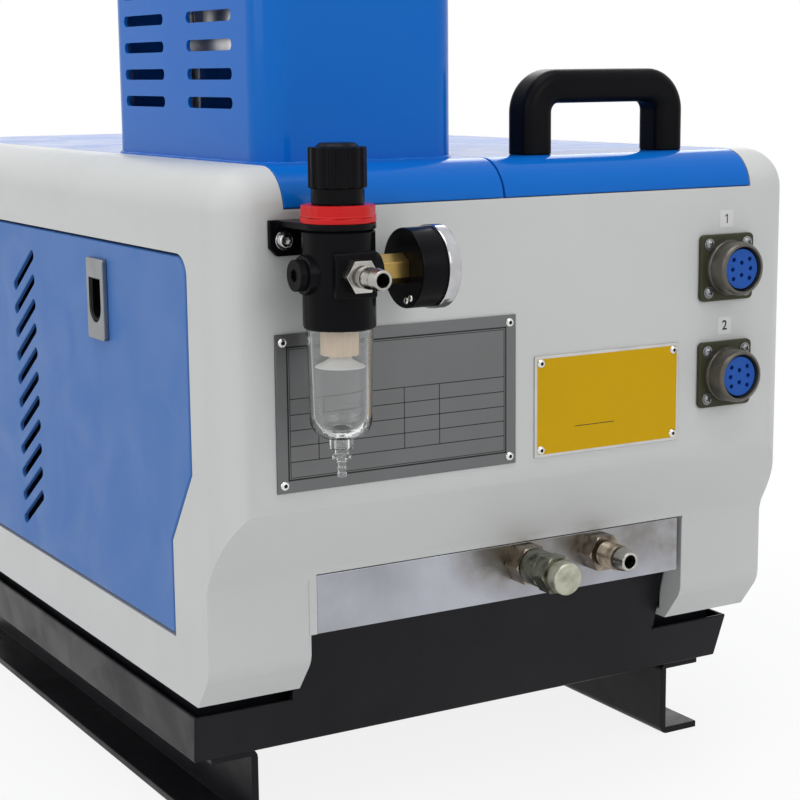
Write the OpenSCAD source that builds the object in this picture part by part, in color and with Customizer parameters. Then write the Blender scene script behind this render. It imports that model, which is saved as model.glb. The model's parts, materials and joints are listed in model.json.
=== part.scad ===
// Hot melt glue unit: a heated tank and a piston pump driven by air, with the cover, the base
// and the air supply round them.
// Millimetres, +Z up. The origin is on the floor, in the middle of the four floor bolts.
// The hose end faces -Y, the control end +Y, and the door is on the -X side.

/* [Cover] */
// Width of the moulded cover across its two sides
cover_w = 360; // [350:2:400]
// Length of the moulded cover from the hose end to the control end
cover_l = 560; // [550:2:640]
// Height of the deck above the floor
deck_z = 358; // [354:1:380]
// Height of the cover's lower edge above the floor
cover_bottom = 82.5; // [80:0.5:88]
// Radius of the cover's top edges and ball corners
edge_r = 22; // [18:1:24]
// Wall of the moulded cover
cover_wall = 6; // [5.5:0.5:8]
// Height at which the end face starts to slope in
waist_top = 190; // [184:1:194]
// Height at which that slope ends
waist_bottom = 147.5; // [146:0.5:156]
// Depth of the waist behind the end face
waist_depth = 24.5; // [22:0.5:28]
// Height at which the lower bevel starts
bevel_top = 101.5; // [96:0.5:108]
// Depth of the lower bevel
bevel_depth = 14.5; // [10:0.5:16]
// Width of the gap between the two feet at the hose end
foot_gap_w = 243; // [240:1:250]
// Width of the rim that stands on the sill
rim_w = 17; // [14:1:20]
// Thickness of that rim
rim_t = 4; // [3:0.5:6]

/* [Top covers] */
// Thickness of the blue top covers
skin_t = 3; // [2:0.5:4]
// Margin of grey cover left of the pump deck cover
top_left_margin = 35.5; // [34:0.5:38]
// Margin of grey cover right of the tank lid
top_right_margin = 34; // [32:0.5:36]
// Distance of the seam beside the lid from the tower
seam_clear = 8.5; // [8:0.5:10]
// Gap between neighbouring covers
seam_gap = 1; // [0.6:0.1:1.6]
// Height of the lip in front, below the deck
lip_drop = 19.7; // [16:0.1:21]
// Length of the lid from the end face to its rear edge
lid_l = 326; // [320:1:332]
// Gap at the lid hinge, between the lid and the rear cover
hinge_gap = 7.4; // [7.2:0.1:9]
// Gap between a cover and the seat below it
seat_gap = 0.3; // [0.2:0.05:0.5]

/* [Tower] */
// Width of the tower
tower_w = 115; // [112:1:118]
// Length of the tower
tower_l = 198; // [190:1:210]
// Height of the tower above the deck
tower_h = 230; // [220:5:280]
// Radius of the tower's upright corners
tower_r = 18; // [12:1:24]
// Sheet of the tower
tower_t = 2; // [1.5:0.5:3]
// Distance of the tower behind the hose end face
tower_front = 28; // [24:1:34]
// Distance of the tower from the unit's left side
tower_inset = 39; // [38:0.5:40]
// Length of a cooling slot
vent_l = 55; // [40:1:60]
// Height of a cooling slot
vent_h = 5.8; // [4:0.2:8]
// Pitch of the cooling slots, on the tower and on the door
vent_pitch = 14.65; // [13:0.05:16]
// Rows of cooling slots on the tower
vent_rows = 10; // [4:1:12]

/* [Rails and tray] */
// Height of a floor rail
rail_h = 45.5; // [40:0.5:50]
// Width of a rail's flanges
rail_w = 27.5; // [26:0.5:34]
// Sheet of the rails
rail_t = 4; // [3:0.5:5]
// Distance of a rail's web from the middle
rail_x = 136.5; // [130:0.5:140]
// Distance of the rail ends behind the end faces
rail_setback = 60; // [40:5:80]
// Diameter of the floor bolt holes
bolt_hole_d = 9; // [7:0.5:11]
// Distance between the floor bolts along the unit
bolt_pitch = 360; // [300:10:400]
// Height of the base tray
tray_h = 27.5; // [25:0.5:32]
// Width of the tray at its top
tray_w = 355; // [352:0.5:358]
// Lean of the tray's side walls
tray_side_lean = 2.5; // [1:0.5:4]
// Lean of the tray's end walls
tray_end_lean = 7.5; // [4:0.5:10]
// Sheet of the tray
tray_t = 2.5; // [2:0.5:3]
// Distance of the tray's top edge behind the end faces
tray_setback = 49.5; // [46:0.5:52]
// Wall of the sill frame
sill_t = 6; // [4:0.5:8]

/* [Door] */
// Height of the door's lower edge above the floor
door_bottom = 115.2; // [112:0.2:118]
// Height of the door's upper edge above the floor
door_top = 313.5; // [306:0.5:316]
// Distance of the door's upright edges behind the end faces
door_edge = 39; // [36:1:44]
// Step of those edges below the slope
door_step = 27; // [20:1:30]
// Height at which the slope of the edges starts
door_slope_top = 204.6; // [200:0.2:210]
// Height at which the slope of the edges ends
door_slope_bottom = 165.5; // [160:0.5:170]
// Radius of the door's upper corners
door_r = 10; // [6:1:14]
// Sheet of the door
door_t = 2.5; // [2:0.5:3]
// Depth of the door's folded edges
door_depth = 25; // [22:1:28]
// Gap round the door
door_gap = 1.5; // [1.2:0.1:2]
// Diameter of the hinge pins of the door
door_pin_d = 3; // [2.5:0.5:4]
// Slots in the door
louvre_count = 11; // [6:1:11]
// Distance of the latches behind the end faces
latch_inset = 155; // [150:1:160]
// Width of a latch plate
latch_w = 24; // [22:1:28]
// Height of a latch plate
latch_h = 44.5; // [42:0.5:48]
// Travel of a latch bolt
latch_travel = 6; // [4:0.5:7]

/* [Tank and pump] */
// Wall of the tank
tank_wall = 9; // [7:0.5:12]
// Height of the tank's floor above the floor of the room
tank_base = 115.5; // [112:0.5:118]
// Diameter of the pump plunger
plunger_d = 32; // [26:1:36]
// Diameter of the pump rod
rod_d = 16; // [12:1:18]
// Stroke of the pump
stroke = 40; // [30:1:44]
// Inner diameter of the air cylinder
cylinder_d = 70; // [60:1:72]
// Wall of the air cylinder
cylinder_wall = 4; // [3:0.5:5]
// Width of the square heads of the air cylinder
head_w = 96; // [92:1:98]
// Depth of the aluminium manifold
manifold_d = 60; // [54:1:66]
// Height of the hose fittings above the floor
fitting_z = 136.5; // [134:0.5:137]
// Bore of the open hose fitting
fitting_bore = 5; // [4:0.5:6]

/* [Air supply] */
// Distance of the filter regulator from the unit's left side
regulator_inset = 48; // [46:0.5:50]
// Distance of the air ports below the deck
port_drop = 48.6; // [46:0.1:52]
// Distance of the filter regulator in front of the end face
regulator_out = 31; // [29:0.5:36]
// Diameter of the regulator body
body_d = 35; // [33:0.5:36]
// Diameter of the pressure knob
knob_d = 27.7; // [25:0.1:32]
// Outer diameter of the clear bowl
bowl_d = 32; // [30:0.5:33]
// Wall of the clear bowl
bowl_wall = 2.2; // [1.8:0.1:3]
// Diameter of the gauge case
gauge_d = 41; // [38:0.5:44]
// Travel of the drain valve
drain_travel = 3; // [2:0.5:4]

/* [Connectors and plates] */
// Distance of the connectors from the unit's right side
connector_inset = 51.4; // [50:0.2:54]
// Distance of the pair of connectors from the middle of the end face, upwards
connector_shift = -0.35; // [-2:0.05:2]
// Distance between the two connectors
connector_pitch = 59.8; // [56:0.2:62]
// Diameter of a connector's threaded shell
shell_d = 29.5; // [27:0.5:31]
// Diameter of a connector's insert
insert_d = 22; // [20:0.5:23]
// Thickness of the plates
plate_t = 1; // [0.6:0.2:1.4]
// Distance of the grey plate from the unit's left side
plate_margin = 28.3; // [26:0.1:32]
// Distance of the grey plate above the edge of the waist
plate_rise = 8.5; // [6:0.5:12]
// Distance of the grey plate below the regulator's bracket
plate_room = 38.2; // [30:0.1:44]
// Middle of the gap between the two plates
plate_split = -5.4; // [-10:0.1:0]
// Gap between the two plates
plate_gap = 12; // [6:1:16]
// Height of the yellow plate
yellow_h = 54.7; // [48:0.1:60]
// Distance of the yellow plate above the edge of the waist
yellow_rise = 9.3; // [6:0.1:12]
// Distance of the yellow plate from the connectors' flanges
yellow_room = 13.2; // [8:0.1:16]

/* [Hidden] */
$fn = 40;
// Sides of a round that takes part in a hull
ball_fn = 40;
// Slack of a pin or shaft in its hole, on the radius
fit = 0.05;
// Overshoot of a cut past the face that it opens
cut = 1;
side_x = cover_w / 2;
front_y = -cover_l / 2;
rear_y = cover_l / 2;
lip_z = deck_z - lip_drop;
top_left_x = -side_x + top_left_margin;
top_right_x = side_x - top_right_margin;
tower_x = -side_x + tower_inset + tower_w / 2;
seam_x = tower_x + tower_w / 2 + seam_clear;
lid_mid_x = (seam_x + top_right_x) / 2;
seat_t = skin_t + seat_gap;
lid_rear_y = front_y + lid_l;
rear_cover_y = lid_rear_y + hinge_gap;
hinge_y = lid_rear_y + hinge_gap / 2;
hinge_z = deck_z + 2;
tray_floor_z = rail_h + tray_t;
tray_top_z = rail_h + tray_h;
rim_end = tray_setback + 22;
apron_top_z = tank_base - 0.5;
tower_y = front_y + tower_front + tower_l / 2;
pump_y = tower_y;
door_axis_x = -side_x + 2.8;
door_axis_z = door_bottom + 6;
latch_z = door_top - 31.5;
latch_out = 3;
latch_ys = [front_y + latch_inset, rear_y - latch_inset];
manifold_front = waist_depth - 0.5;
manifold_back_y = front_y + manifold_front + manifold_d;
manifold_top = waist_bottom - 0.5;
tank_x0 = seam_x + 5.5;
tank_x1 = top_right_x - 8;
tank_drop = 20;
tank_top = deck_z - tank_drop;
tank_rear_y = lid_rear_y - 8;
tank_neck_y = front_y + 44;
pump_h = 84.5;
pump_top = tank_base + pump_h;
gland_h = 12;
head_t = 17;
lower_head_z = deck_z + 50;
barrel_z = lower_head_z + head_t;
piston_t = 16;
piston_z = barrel_z + 12;
barrel_h = stroke + piston_t + 30;
upper_head_z = barrel_z + barrel_h;
connector_x = side_x - connector_inset;
connectors_mid = (waist_top + lip_z) / 2 + connector_shift;
connector_zs = [connectors_mid - connector_pitch / 2, connectors_mid + connector_pitch / 2];
regulator_x = -side_x + regulator_inset;
regulator_y = front_y - regulator_out;
bracket_t = 3;
bracket_h = 17.5;
ring_h = 8.4;
port_z = deck_z - port_drop;
body_z = port_z - 26.3;
body_top = port_z + 20.8;
ring_z = body_top + bracket_t;
bracket_low = ring_z - bracket_h;
knob_z = ring_z + ring_h + seat_gap;
knob_h = 28.5;
bowl_z = body_z - 53.1;
panel_z = 270;
panel_w = 240;
panel_h = 110;

cover_grey = "gainsboro";
cover_blue = "dodgerblue";
base_black = "#24242c";
metal = "silver";

// Extrudes a (Y, Z) outline along X
module along_x(x0, x1) {
    translate([x0, 0, 0]) rotate([90, 0, 90]) linear_extrude(x1 - x0) children();
}

// Extrudes an (X, Z) outline along Y
module along_y(y0, y1) {
    translate([0, y1, 0]) rotate([90, 0, 0]) linear_extrude(y1 - y0) children();
}

// A rod along Y, from y0 to y1
module rod_y(x, z, r, y0, y1, sides = 40) {
    translate([x, y1, z]) rotate([90, 0, 0]) cylinder(r = r, h = y1 - y0, $fn = sides);
}

// A rod along X, from x0 to x1
module rod_x(y, z, r, x0, x1, sides = 40) {
    translate([x0, y, z]) rotate([0, 90, 0]) cylinder(r = r, h = x1 - x0, $fn = sides);
}

// A block between two corners
module block(low, high) {
    translate(low) cube(high - low);
}

module round_rect(w, h, r) {
    square([w - 2 * r, h], center = true);
    square([w, h - 2 * r], center = true);
    for (sx = [-1, 1], sy = [-1, 1])
        translate([sx * (w / 2 - r), sy * (h / 2 - r)]) circle(r);
}

module slot_outline(l, w) {
    square([l - w, w], center = true);
    for (s = [-1, 1])
        translate([s * (l - w) / 2, 0]) circle(w / 2);
}

// Base

module rail(side) {
    mirror([side < 0 ? 1 : 0, 0, 0]) difference() {
        along_y(front_y + rail_setback, rear_y - rail_setback) translate([rail_x, 0]) difference() {
            square([rail_w, rail_h]);
            translate([rail_t, rail_t]) square([rail_w, rail_h - 2 * rail_t]);
        }
        for (s = [-1, 1])
            translate([rail_x + rail_t + (rail_w - rail_t) / 2, s * bolt_pitch / 2, -cut])
                cylinder(d = bolt_hole_d, h = rail_t + 2 * cut);
    }
}

module left_rail() {
    color(base_black) rail(-1);
}

module right_rail() {
    color(base_black) rail(1);
}

// The tray's form, drawn in by an inset, from height z0 up to the tray's top
module tray_form(inset, z0, top) {
    tray_l = cover_l - 2 * tray_setback;
    function half(size, lean, z) = size / 2 - inset - lean * (tray_top_z - z) / tray_h;
    intersection() {
        along_y(front_y, rear_y) polygon([
            [-half(tray_w, tray_side_lean, z0), z0], [half(tray_w, tray_side_lean, z0), z0],
            [half(tray_w, tray_side_lean, top), top], [-half(tray_w, tray_side_lean, top), top]]);
        along_x(-side_x, side_x) polygon([
            [-half(tray_l, tray_end_lean, z0), z0], [half(tray_l, tray_end_lean, z0), z0],
            [half(tray_l, tray_end_lean, top), top], [-half(tray_l, tray_end_lean, top), top]]);
    }
}

module base_tray() {
    function face_y(z) = front_y + tray_setback + tray_end_lean * (tray_top_z - z) / tray_h;
    color(base_black) {
        difference() {
            tray_form(0, rail_h, tray_top_z);
            tray_form(tray_t, tray_floor_z, tray_top_z + cut);
        }
        // The front wall goes on upwards between the feet, behind the manifold
        along_x(-foot_gap_w / 2 + 0.6, foot_gap_w / 2 - 0.6) polygon([
            [face_y(tray_top_z - 3), tray_top_z - 3], [face_y(tray_top_z - 3) + tray_t, tray_top_z - 3],
            [face_y(apron_top_z) + tray_t, apron_top_z], [face_y(apron_top_z), apron_top_z]]);
    }
}

module sill_frame() {
    outer_x = tray_w / 2 - tray_side_lean - tray_t - 1;
    outer_y = rear_y - tray_setback - tray_end_lean - tray_t - 1;
    color(base_black) difference() {
        block([-outer_x, -outer_y, tray_floor_z], [outer_x, outer_y, cover_bottom]);
        block([-outer_x + sill_t, -outer_y + sill_t, tray_floor_z - cut],
            [outer_x - sill_t, outer_y - sill_t, cover_bottom + cut]);
    }
}

// Cover

// The outer form of the unit: a box with ball corners, cut by the end outline and drawn in by an inset
module cover_form(inset) {
    ends = [[inset, deck_z + cut], [inset, waist_top], [waist_depth + inset, waist_bottom],
        [waist_depth + inset, bevel_top], [waist_depth + bevel_depth + inset, cover_bottom]];
    intersection() {
        hull()
            for (sx = [-1, 1], sy = [-1, 1])
                translate([sx * (side_x - edge_r), sy * (rear_y - edge_r), cover_bottom]) {
                    cylinder(r = edge_r - inset, h = 1, $fn = ball_fn);
                    // A ball whose top and side facets reach the full radius
                    translate([0, 0, deck_z - edge_r - cover_bottom])
                        sphere(r = (edge_r - inset) / cos(180 / ball_fn), $fn = ball_fn);
                }
        along_x(-side_x - cut, side_x + cut) polygon(concat(
            [for (p = ends) [front_y + p[0], p[1]]],
            [for (i = [4:-1:0]) [rear_y - ends[i][0], ends[i][1]]]));
    }
}

// The outline of the door and of the panel on the other side, as (Y, Z)
module door_outline(grow) {
    y0 = front_y + door_edge - grow;
    top = door_top + grow;
    r = door_r + grow;
    translate([y0, door_slope_top]) square([-2 * y0, top - r - door_slope_top]);
    translate([y0 + r, door_slope_top]) square([-2 * (y0 + r), top - door_slope_top]);
    for (s = [-1, 1])
        translate([s * (y0 + r), top - r]) circle(r);
    polygon([[y0, door_slope_top], [y0 + door_step, door_slope_bottom], [y0 + door_step, door_bottom - grow],
        [-y0 - door_step, door_bottom - grow], [-y0 - door_step, door_slope_bottom], [-y0, door_slope_top]]);
}

flange_w = 37;
flange_screw = 13.3;
screw_r = 1.5;
// Lower left and upper right corners of the two plates, as (X, Z)
data_plate_box = [[-side_x + plate_margin, waist_top + plate_rise],
    [plate_split - plate_gap / 2, bracket_low - plate_room]];
yellow_plate_box = [[plate_split + plate_gap / 2, waist_top + yellow_rise],
    [connector_x - flange_w / 2 - yellow_room, waist_top + yellow_rise + yellow_h]];
rivet_inset = 4;
rivet_r = 1.2;

module at_rivets() {
    for (b = [data_plate_box, yellow_plate_box], x = [b[0][0] + rivet_inset, b[1][0] - rivet_inset],
        z = [b[0][1] + rivet_inset, b[1][1] - rivet_inset])
        translate([x, front_y, z]) rotate([90, 0, 0]) children();
}

module at_connectors() {
    for (z = connector_zs)
        translate([connector_x, front_y, z]) rotate([90, 0, 0]) children();
}

module at_connector_screws() {
    at_connectors() for (sx = [-1, 1], sy = [-1, 1])
        translate([sx * flange_screw, sy * flange_screw, 0]) children();
}

bracket_screw_xs = [regulator_x - 14.5, regulator_x + 14.5];
bracket_screw_z = ring_z - 9.8;
bracket_screw_r = 2;
tank_window = [tank_x0 + tank_wall, tank_x1 - tank_wall];
handle_y = front_y + 34;
handle_span = 88;
handle_x = lid_mid_x + 0.75;
handle_xs = [handle_x - handle_span / 2, handle_x + handle_span / 2];
gland_x = -100;
gland_z = 125;
gland_r = 10;

// The room for the pump and its cylinder heads, seen from above
module pump_way() {
    translate([tower_x, pump_y]) round_rect(head_w + 4, head_w + 24, 8);
}

module main_cover() {
    top_x0 = top_left_x - seam_gap / 2;
    top_x1 = top_right_x + seam_gap / 2;
    hole_h = cover_wall + 2 * cut;
    pin_y = rear_y - door_edge - door_step + 5;
    color(cover_grey) difference() {
        union() {
            difference() {
                cover_form(0);
                // The hollow inside, above the rim that stands on the sill
                intersection() {
                    cover_form(cover_wall);
                    block([-side_x, front_y, cover_bottom + rim_t], [side_x, rear_y, deck_z]);
                }
                block([-side_x + rim_w, front_y + rim_end, cover_bottom - cut],
                    [side_x - rim_w, rear_y - rim_end, cover_bottom + rim_t + cut]);
                // The gap between the feet
                block([-foot_gap_w / 2, front_y - cut, cover_bottom - cut],
                    [foot_gap_w / 2, front_y + rim_end + cut, waist_bottom]);
            }
            // The inner walls of the two feet
            intersection() {
                cover_form(0);
                for (s = [-1, 1])
                    translate([s * (foot_gap_w + cover_wall) / 2 - cover_wall / 2, front_y, cover_bottom])
                        cube([cover_wall, tray_setback - 4, waist_bottom - cover_bottom]);
            }
        }
        // The recess in which the top covers lie flush
        difference() {
            block([top_x0, front_y - cut, lip_z - seam_gap / 2], [top_x1, rear_y + cut, deck_z + cut]);
            cover_form(seat_t);
        }
        // The mouth of the tank and the way up for the pump
        block([tank_window[0], tank_neck_y + tank_wall, tank_top],
            [tank_window[1], tank_rear_y - tank_wall, deck_z + cut]);
        translate([0, 0, tank_top]) linear_extrude(deck_z) pump_way();
        for (x = handle_xs)
            translate([x, handle_y, tank_top]) cylinder(r = handle_head_r + 1.5, h = deck_z);
        // The door, the panel on the other side, and the hinge pins of the door
        along_x(-side_x - cut, -side_x + cover_wall + cut) door_outline(door_gap);
        along_x(side_x - cover_wall - cut, side_x + cut) door_outline(door_gap);
        for (s = [-1, 1])
            rod_y(door_axis_x, door_axis_z, door_pin_d / 2 + fit, s * pin_y - 5.5, s * pin_y + 5.5);
        // Holes for what is fixed to the ends
        at_rivets() translate([0, 0, -cover_wall - cut]) cylinder(r = rivet_r + fit, h = hole_h);
        at_connectors() translate([0, 0, -cover_wall - cut]) cylinder(r = shell_d / 2 - 1, h = hole_h);
        at_connector_screws() translate([0, 0, -cover_wall - cut]) cylinder(r = screw_r + fit, h = hole_h);
        for (x = bracket_screw_xs)
            rod_y(x, bracket_screw_z, bracket_screw_r + fit, front_y - cut, front_y + cover_wall + cut);
        rod_y(gland_x, gland_z, gland_r + fit, rear_y - waist_depth - cover_wall - cut, rear_y);
        along_y(rear_y - cover_wall - cut, rear_y + cut) translate([0, panel_z])
            square([panel_w - 16, panel_h - 16], center = true);
    }
}

// A piece of the top skin between two places along X and along Y
module top_skin(x0, x1, y0, y1) {
    difference() {
        cover_form(0);
        cover_form(skin_t);
        // What lies outside the piece
        block([-cover_w, -cover_l, 0], [x0, cover_l, 2 * deck_z]);
        block([x1, -cover_l, 0], [cover_w, cover_l, 2 * deck_z]);
        block([-cover_w, -2 * cover_l, 0], [cover_w, y0, 2 * deck_z]);
        block([-cover_w, y1, 0], [cover_w, 2 * cover_l, 2 * deck_z]);
        block([-cover_w, -cover_l, 0], [cover_w, cover_l, lip_z]);
    }
}

module pump_deck_cover() {
    color(cover_blue) difference() {
        top_skin(top_left_x, seam_x - seam_gap / 2, front_y - cut, rear_cover_y - seam_gap);
        linear_extrude(2 * deck_z) pump_way();
    }
}

module rear_top_cover() {
    color(cover_blue) top_skin(top_left_x, top_right_x, rear_cover_y, rear_y + cut);
}

module tank_lid() {
    color(cover_blue) difference() {
        top_skin(seam_x + seam_gap / 2, top_right_x, front_y - cut, lid_rear_y);
        for (x = handle_xs)
            translate([x, handle_y, 0]) cylinder(r = handle_screw_r + fit, h = 2 * deck_z);
    }
}

// Top: hinge, handle and tower

handle_screw_r = 2.5;
handle_head_r = 5.5;
handle_head_h = 3;
handle_thread = 14;
handle_h = 45;
handle_bar = 18;
handle_depth = 22;
handle_bend = 14;
handle_edge = 6;
hinge_pitch = 80;
hinge_xs = [lid_mid_x - hinge_pitch / 2, lid_mid_x + hinge_pitch / 2];
hinge_half = 20;
hinge_tongue = 7.7;
leaf_l = 20;
leaf_t = 2;
knuckle_r = 3.2;
hinge_pin_r = 1.5;

// One half of a lid hinge: its leaf towards side, and its knuckles between two places along X
module hinge_half_leaf(side, knuckles) {
    difference() {
        for (k = knuckles) {
            rod_x(hinge_y, hinge_z, knuckle_r, k[0], k[1]);
            block([k[0], min(hinge_y, hinge_y + side * hinge_gap / 2 + side * 0.2), deck_z],
                [k[1], max(hinge_y, hinge_y + side * hinge_gap / 2 + side * 0.2), deck_z + leaf_t]);
        }
        rod_x(hinge_y, hinge_z, hinge_pin_r + fit, -hinge_half - cut, hinge_half + cut);
    }
    near = hinge_y + side * (hinge_gap / 2 + 0.2);
    far = near + side * leaf_l;
    block([-hinge_half, min(near, far), deck_z], [hinge_half, max(near, far), deck_z + leaf_t]);
}

module lid_hinge_leaves() {
    color(metal) for (x = hinge_xs)
        translate([x, 0, 0]) hinge_half_leaf(-1, [[-hinge_tongue, hinge_tongue]]);
}

module lid_hinge_brackets() {
    color(metal) for (x = hinge_xs)
        translate([x, 0, 0]) {
            hinge_half_leaf(1, [[-hinge_half, -hinge_tongue - 0.3], [hinge_tongue + 0.3, hinge_half]]);
            rod_x(hinge_y, hinge_z, hinge_pin_r, -hinge_half, hinge_half);
        }
}

module lid_handle() {
    bend_z = deck_z + handle_h - handle_bar / 2 - handle_bend;
    color("#202022") translate([0, handle_y, 0]) difference() {
        union() {
            for (x = handle_xs)
                translate([x, 0, deck_z]) linear_extrude(bend_z - deck_z)
                    round_rect(handle_bar, handle_depth, handle_edge);
            for (i = [0, 1])
                translate([handle_xs[i] + (i == 0 ? 1 : -1) * handle_bend, 0, bend_z]) rotate([90, 0, 0])
                    rotate([0, 0, i == 0 ? 90 : 0]) rotate_extrude(angle = 90)
                        translate([handle_bend, 0]) round_rect(handle_bar, handle_depth, handle_edge);
            translate([handle_xs[0] + handle_bend, 0, bend_z + handle_bend]) rotate([90, 0, 90])
                linear_extrude(handle_span - 2 * handle_bend)
                    round_rect(handle_depth, handle_bar, handle_edge);
        }
        for (x = handle_xs)
            translate([x, 0, deck_z - cut]) cylinder(r = handle_screw_r + fit, h = handle_thread + 2 * cut);
    }
}

module handle_screws() {
    color(metal) for (x = handle_xs)
        translate([x, handle_y, deck_z - skin_t]) {
            cylinder(r = handle_screw_r, h = skin_t + handle_thread);
            translate([0, 0, -handle_head_h]) cylinder(r = handle_head_r, h = handle_head_h);
        }
}

vent_first = 29.6;
vent_gap = 30.4;
vent_shift = 5.5;

module tower_cover() {
    columns = [-(vent_l + vent_gap) / 2, (vent_l + vent_gap) / 2];
    color("royalblue") difference() {
        translate([tower_x, tower_y, deck_z]) difference() {
            linear_extrude(tower_h) round_rect(tower_w, tower_l, tower_r);
            translate([0, 0, -cut]) linear_extrude(tower_h - tower_t + cut)
                round_rect(tower_w - 2 * tower_t, tower_l - 2 * tower_t, tower_r - tower_t);
        }
        for (row = [0:vent_rows - 1], c = columns)
            along_x(tower_x - tower_w, tower_x + tower_w)
                translate([tower_y + vent_shift + c, deck_z + vent_first + row * vent_pitch])
                    slot_outline(vent_l, vent_h);
    }
}

// Tank, manifold and pump

tank_floor_t = 14;
tank_slope = [190, 250];

module tank() {
    // The side of the tank, drawn in by a wall, with its lower and upper edges at two heights
    module side(wall, low, high) {
        front = manifold_back_y + wall;
        neck = tank_neck_y + wall;
        rear = tank_rear_y - wall;
        polygon([[front, low], [front, tank_slope[0] + wall / 2], [neck, tank_slope[1] + wall / 2],
            [neck, high], [rear, high], [rear, low]]);
    }
    color("lightgrey") difference() {
        along_x(tank_x0, tank_x1) side(0, tank_base, tank_top);
        along_x(tank_window[0], tank_window[1]) side(tank_wall, tank_base + tank_floor_t, tank_top + cut);
    }
}

module tank_collar() {
    color("dimgrey") difference() {
        block([tank_x0, tank_neck_y, tank_top], [tank_x1, tank_rear_y, deck_z - cover_wall]);
        block([tank_window[0], tank_neck_y + tank_wall, tank_top - cut],
            [tank_window[1], tank_rear_y - tank_wall, deck_z]);
    }
}

leg_r = 9;
leg_in_x = 30;
leg_in_y = 20;

module tank_legs() {
    places = [[tower_x, manifold_back_y + leg_in_y], [tank_x1 - leg_in_x, manifold_back_y + leg_in_y],
        [tank_x0 + leg_in_x, tank_rear_y - leg_in_y], [tank_x1 - leg_in_x, tank_rear_y - leg_in_y]];
    color(metal) for (p = places)
        translate([p[0], p[1], tray_floor_z]) cylinder(r = leg_r, h = tank_base - tray_floor_z);
}

manifold_half = foot_gap_w / 2 - 3.5;
fitting_xs = [9, 58];
fitting_y = front_y + manifold_front;
thread_r = 6;
thread_l = 12;

module manifold_block() {
    color("lightgrey") difference() {
        block([-manifold_half, fitting_y, tank_base], [manifold_half, manifold_back_y, manifold_top]);
        for (x = fitting_xs)
            rod_y(x, fitting_z, thread_r + fit, fitting_y - cut, fitting_y + thread_l + 4);
    }
}

post_offset = 36;
post_r = 6;
post_wall = 2;
stud_r = 4;
nut_r = 7;
nut_h = 6;
stud_out = 9;
pump_floor = 15;
gland_ring_r = 28;

module at_posts() {
    for (sx = [-1, 1], sy = [-1, 1])
        translate([tower_x + sx * post_offset, pump_y + sy * post_offset, 0]) children();
}

module pump_body() {
    half = post_offset + post_r + post_wall;
    color("lightgrey") {
        difference() {
            block([tower_x - half, manifold_back_y, tank_base], [tank_x0, pump_y + half, pump_top]);
            translate([tower_x, pump_y, tank_base + pump_floor])
                cylinder(r = plunger_d / 2 + fit, h = pump_top);
        }
        translate([tower_x, pump_y, pump_top]) difference() {
            cylinder(r = gland_ring_r, h = gland_h);
            translate([0, 0, -cut]) cylinder(r = rod_d / 2 + fit, h = gland_h + 2 * cut);
        }
    }
}

module pump_posts() {
    color(metal) at_posts() {
        translate([0, 0, pump_top]) cylinder(r = post_r, h = lower_head_z - pump_top);
        translate([0, 0, pump_top]) cylinder(r = stud_r, h = upper_head_z + head_t + stud_out - pump_top);
        translate([0, 0, upper_head_z + head_t]) cylinder(r = nut_r, h = nut_h, $fn = 6);
    }
}

module cylinder_heads() {
    color("lightgrey") for (z = [lower_head_z, upper_head_z])
        difference() {
            translate([tower_x, pump_y, z]) linear_extrude(head_t) round_rect(head_w, head_w, 8);
            at_posts() translate([0, 0, z - cut]) cylinder(r = stud_r + fit, h = head_t + 2 * cut);
            if (z == lower_head_z)
                translate([tower_x, pump_y, z - cut]) cylinder(r = rod_d / 2 + fit, h = head_t + 2 * cut);
        }
}

module cylinder_barrel() {
    color("silver") translate([tower_x, pump_y, barrel_z]) difference() {
        cylinder(r = cylinder_d / 2 + cylinder_wall, h = barrel_h);
        translate([0, 0, -cut]) cylinder(r = cylinder_d / 2, h = barrel_h + 2 * cut);
    }
}

module pump_rod() {
    plunger_h = 20;
    plunger_z = pump_top - stroke - plunger_h - 2;
    color("white") translate([tower_x, pump_y, 0]) {
        translate([0, 0, plunger_z]) cylinder(d = plunger_d, h = plunger_h);
        translate([0, 0, plunger_z]) cylinder(d = rod_d, h = piston_z - plunger_z);
        translate([0, 0, piston_z]) cylinder(r = cylinder_d / 2 - seat_gap, h = piston_t);
    }
}

valve_half = 20;
valve_d = 24;
valve_margin = 4;
silencer_r = 7;
silencer_h = 22;

module air_valve() {
    y0 = pump_y + head_w / 2;
    top = upper_head_z + head_t - valve_margin;
    color("darkgrey") {
        block([tower_x - valve_half, y0, lower_head_z + valve_margin],
            [tower_x + valve_half, y0 + valve_d, top]);
        translate([tower_x, y0 + valve_d / 2, top]) cylinder(r = silencer_r, h = silencer_h);
    }
}

electrics_t = 2.5;
electrics_gap = 8;
electrics_rear = 30;
electrics_drop = 40;
// Depth, length and height of the power supply, and its place on the plate
supply = [39.5, 88, 100];
supply_in = 12;
supply_drop = 18;
// Depth and height of the terminal strip, and its place on the plate
strip = [19.5, 30];
strip_in = 8;
strip_rise = 72;

module electrics_plate() {
    x = tank_x0 - electrics_gap;
    y0 = rear_cover_y + electrics_gap + 2;
    y1 = rear_y - tray_setback - electrics_rear;
    top = deck_z - electrics_drop;
    face = x - electrics_t;
    supply_y = y0 + supply_in;
    supply_top = top - supply_drop;
    strip_z = tray_floor_z + strip_rise;
    color("gainsboro") {
        block([face, y0, tray_floor_z], [x, y1, top]);
        block([face - supply[0], supply_y, supply_top - supply[2]], [face, supply_y + supply[1], supply_top]);
        block([face - strip[0], y0 + strip_in, strip_z], [face, y1 - strip_in, strip_z + strip[1]]);
    }
}

// Side door, latches and right panel

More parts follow.
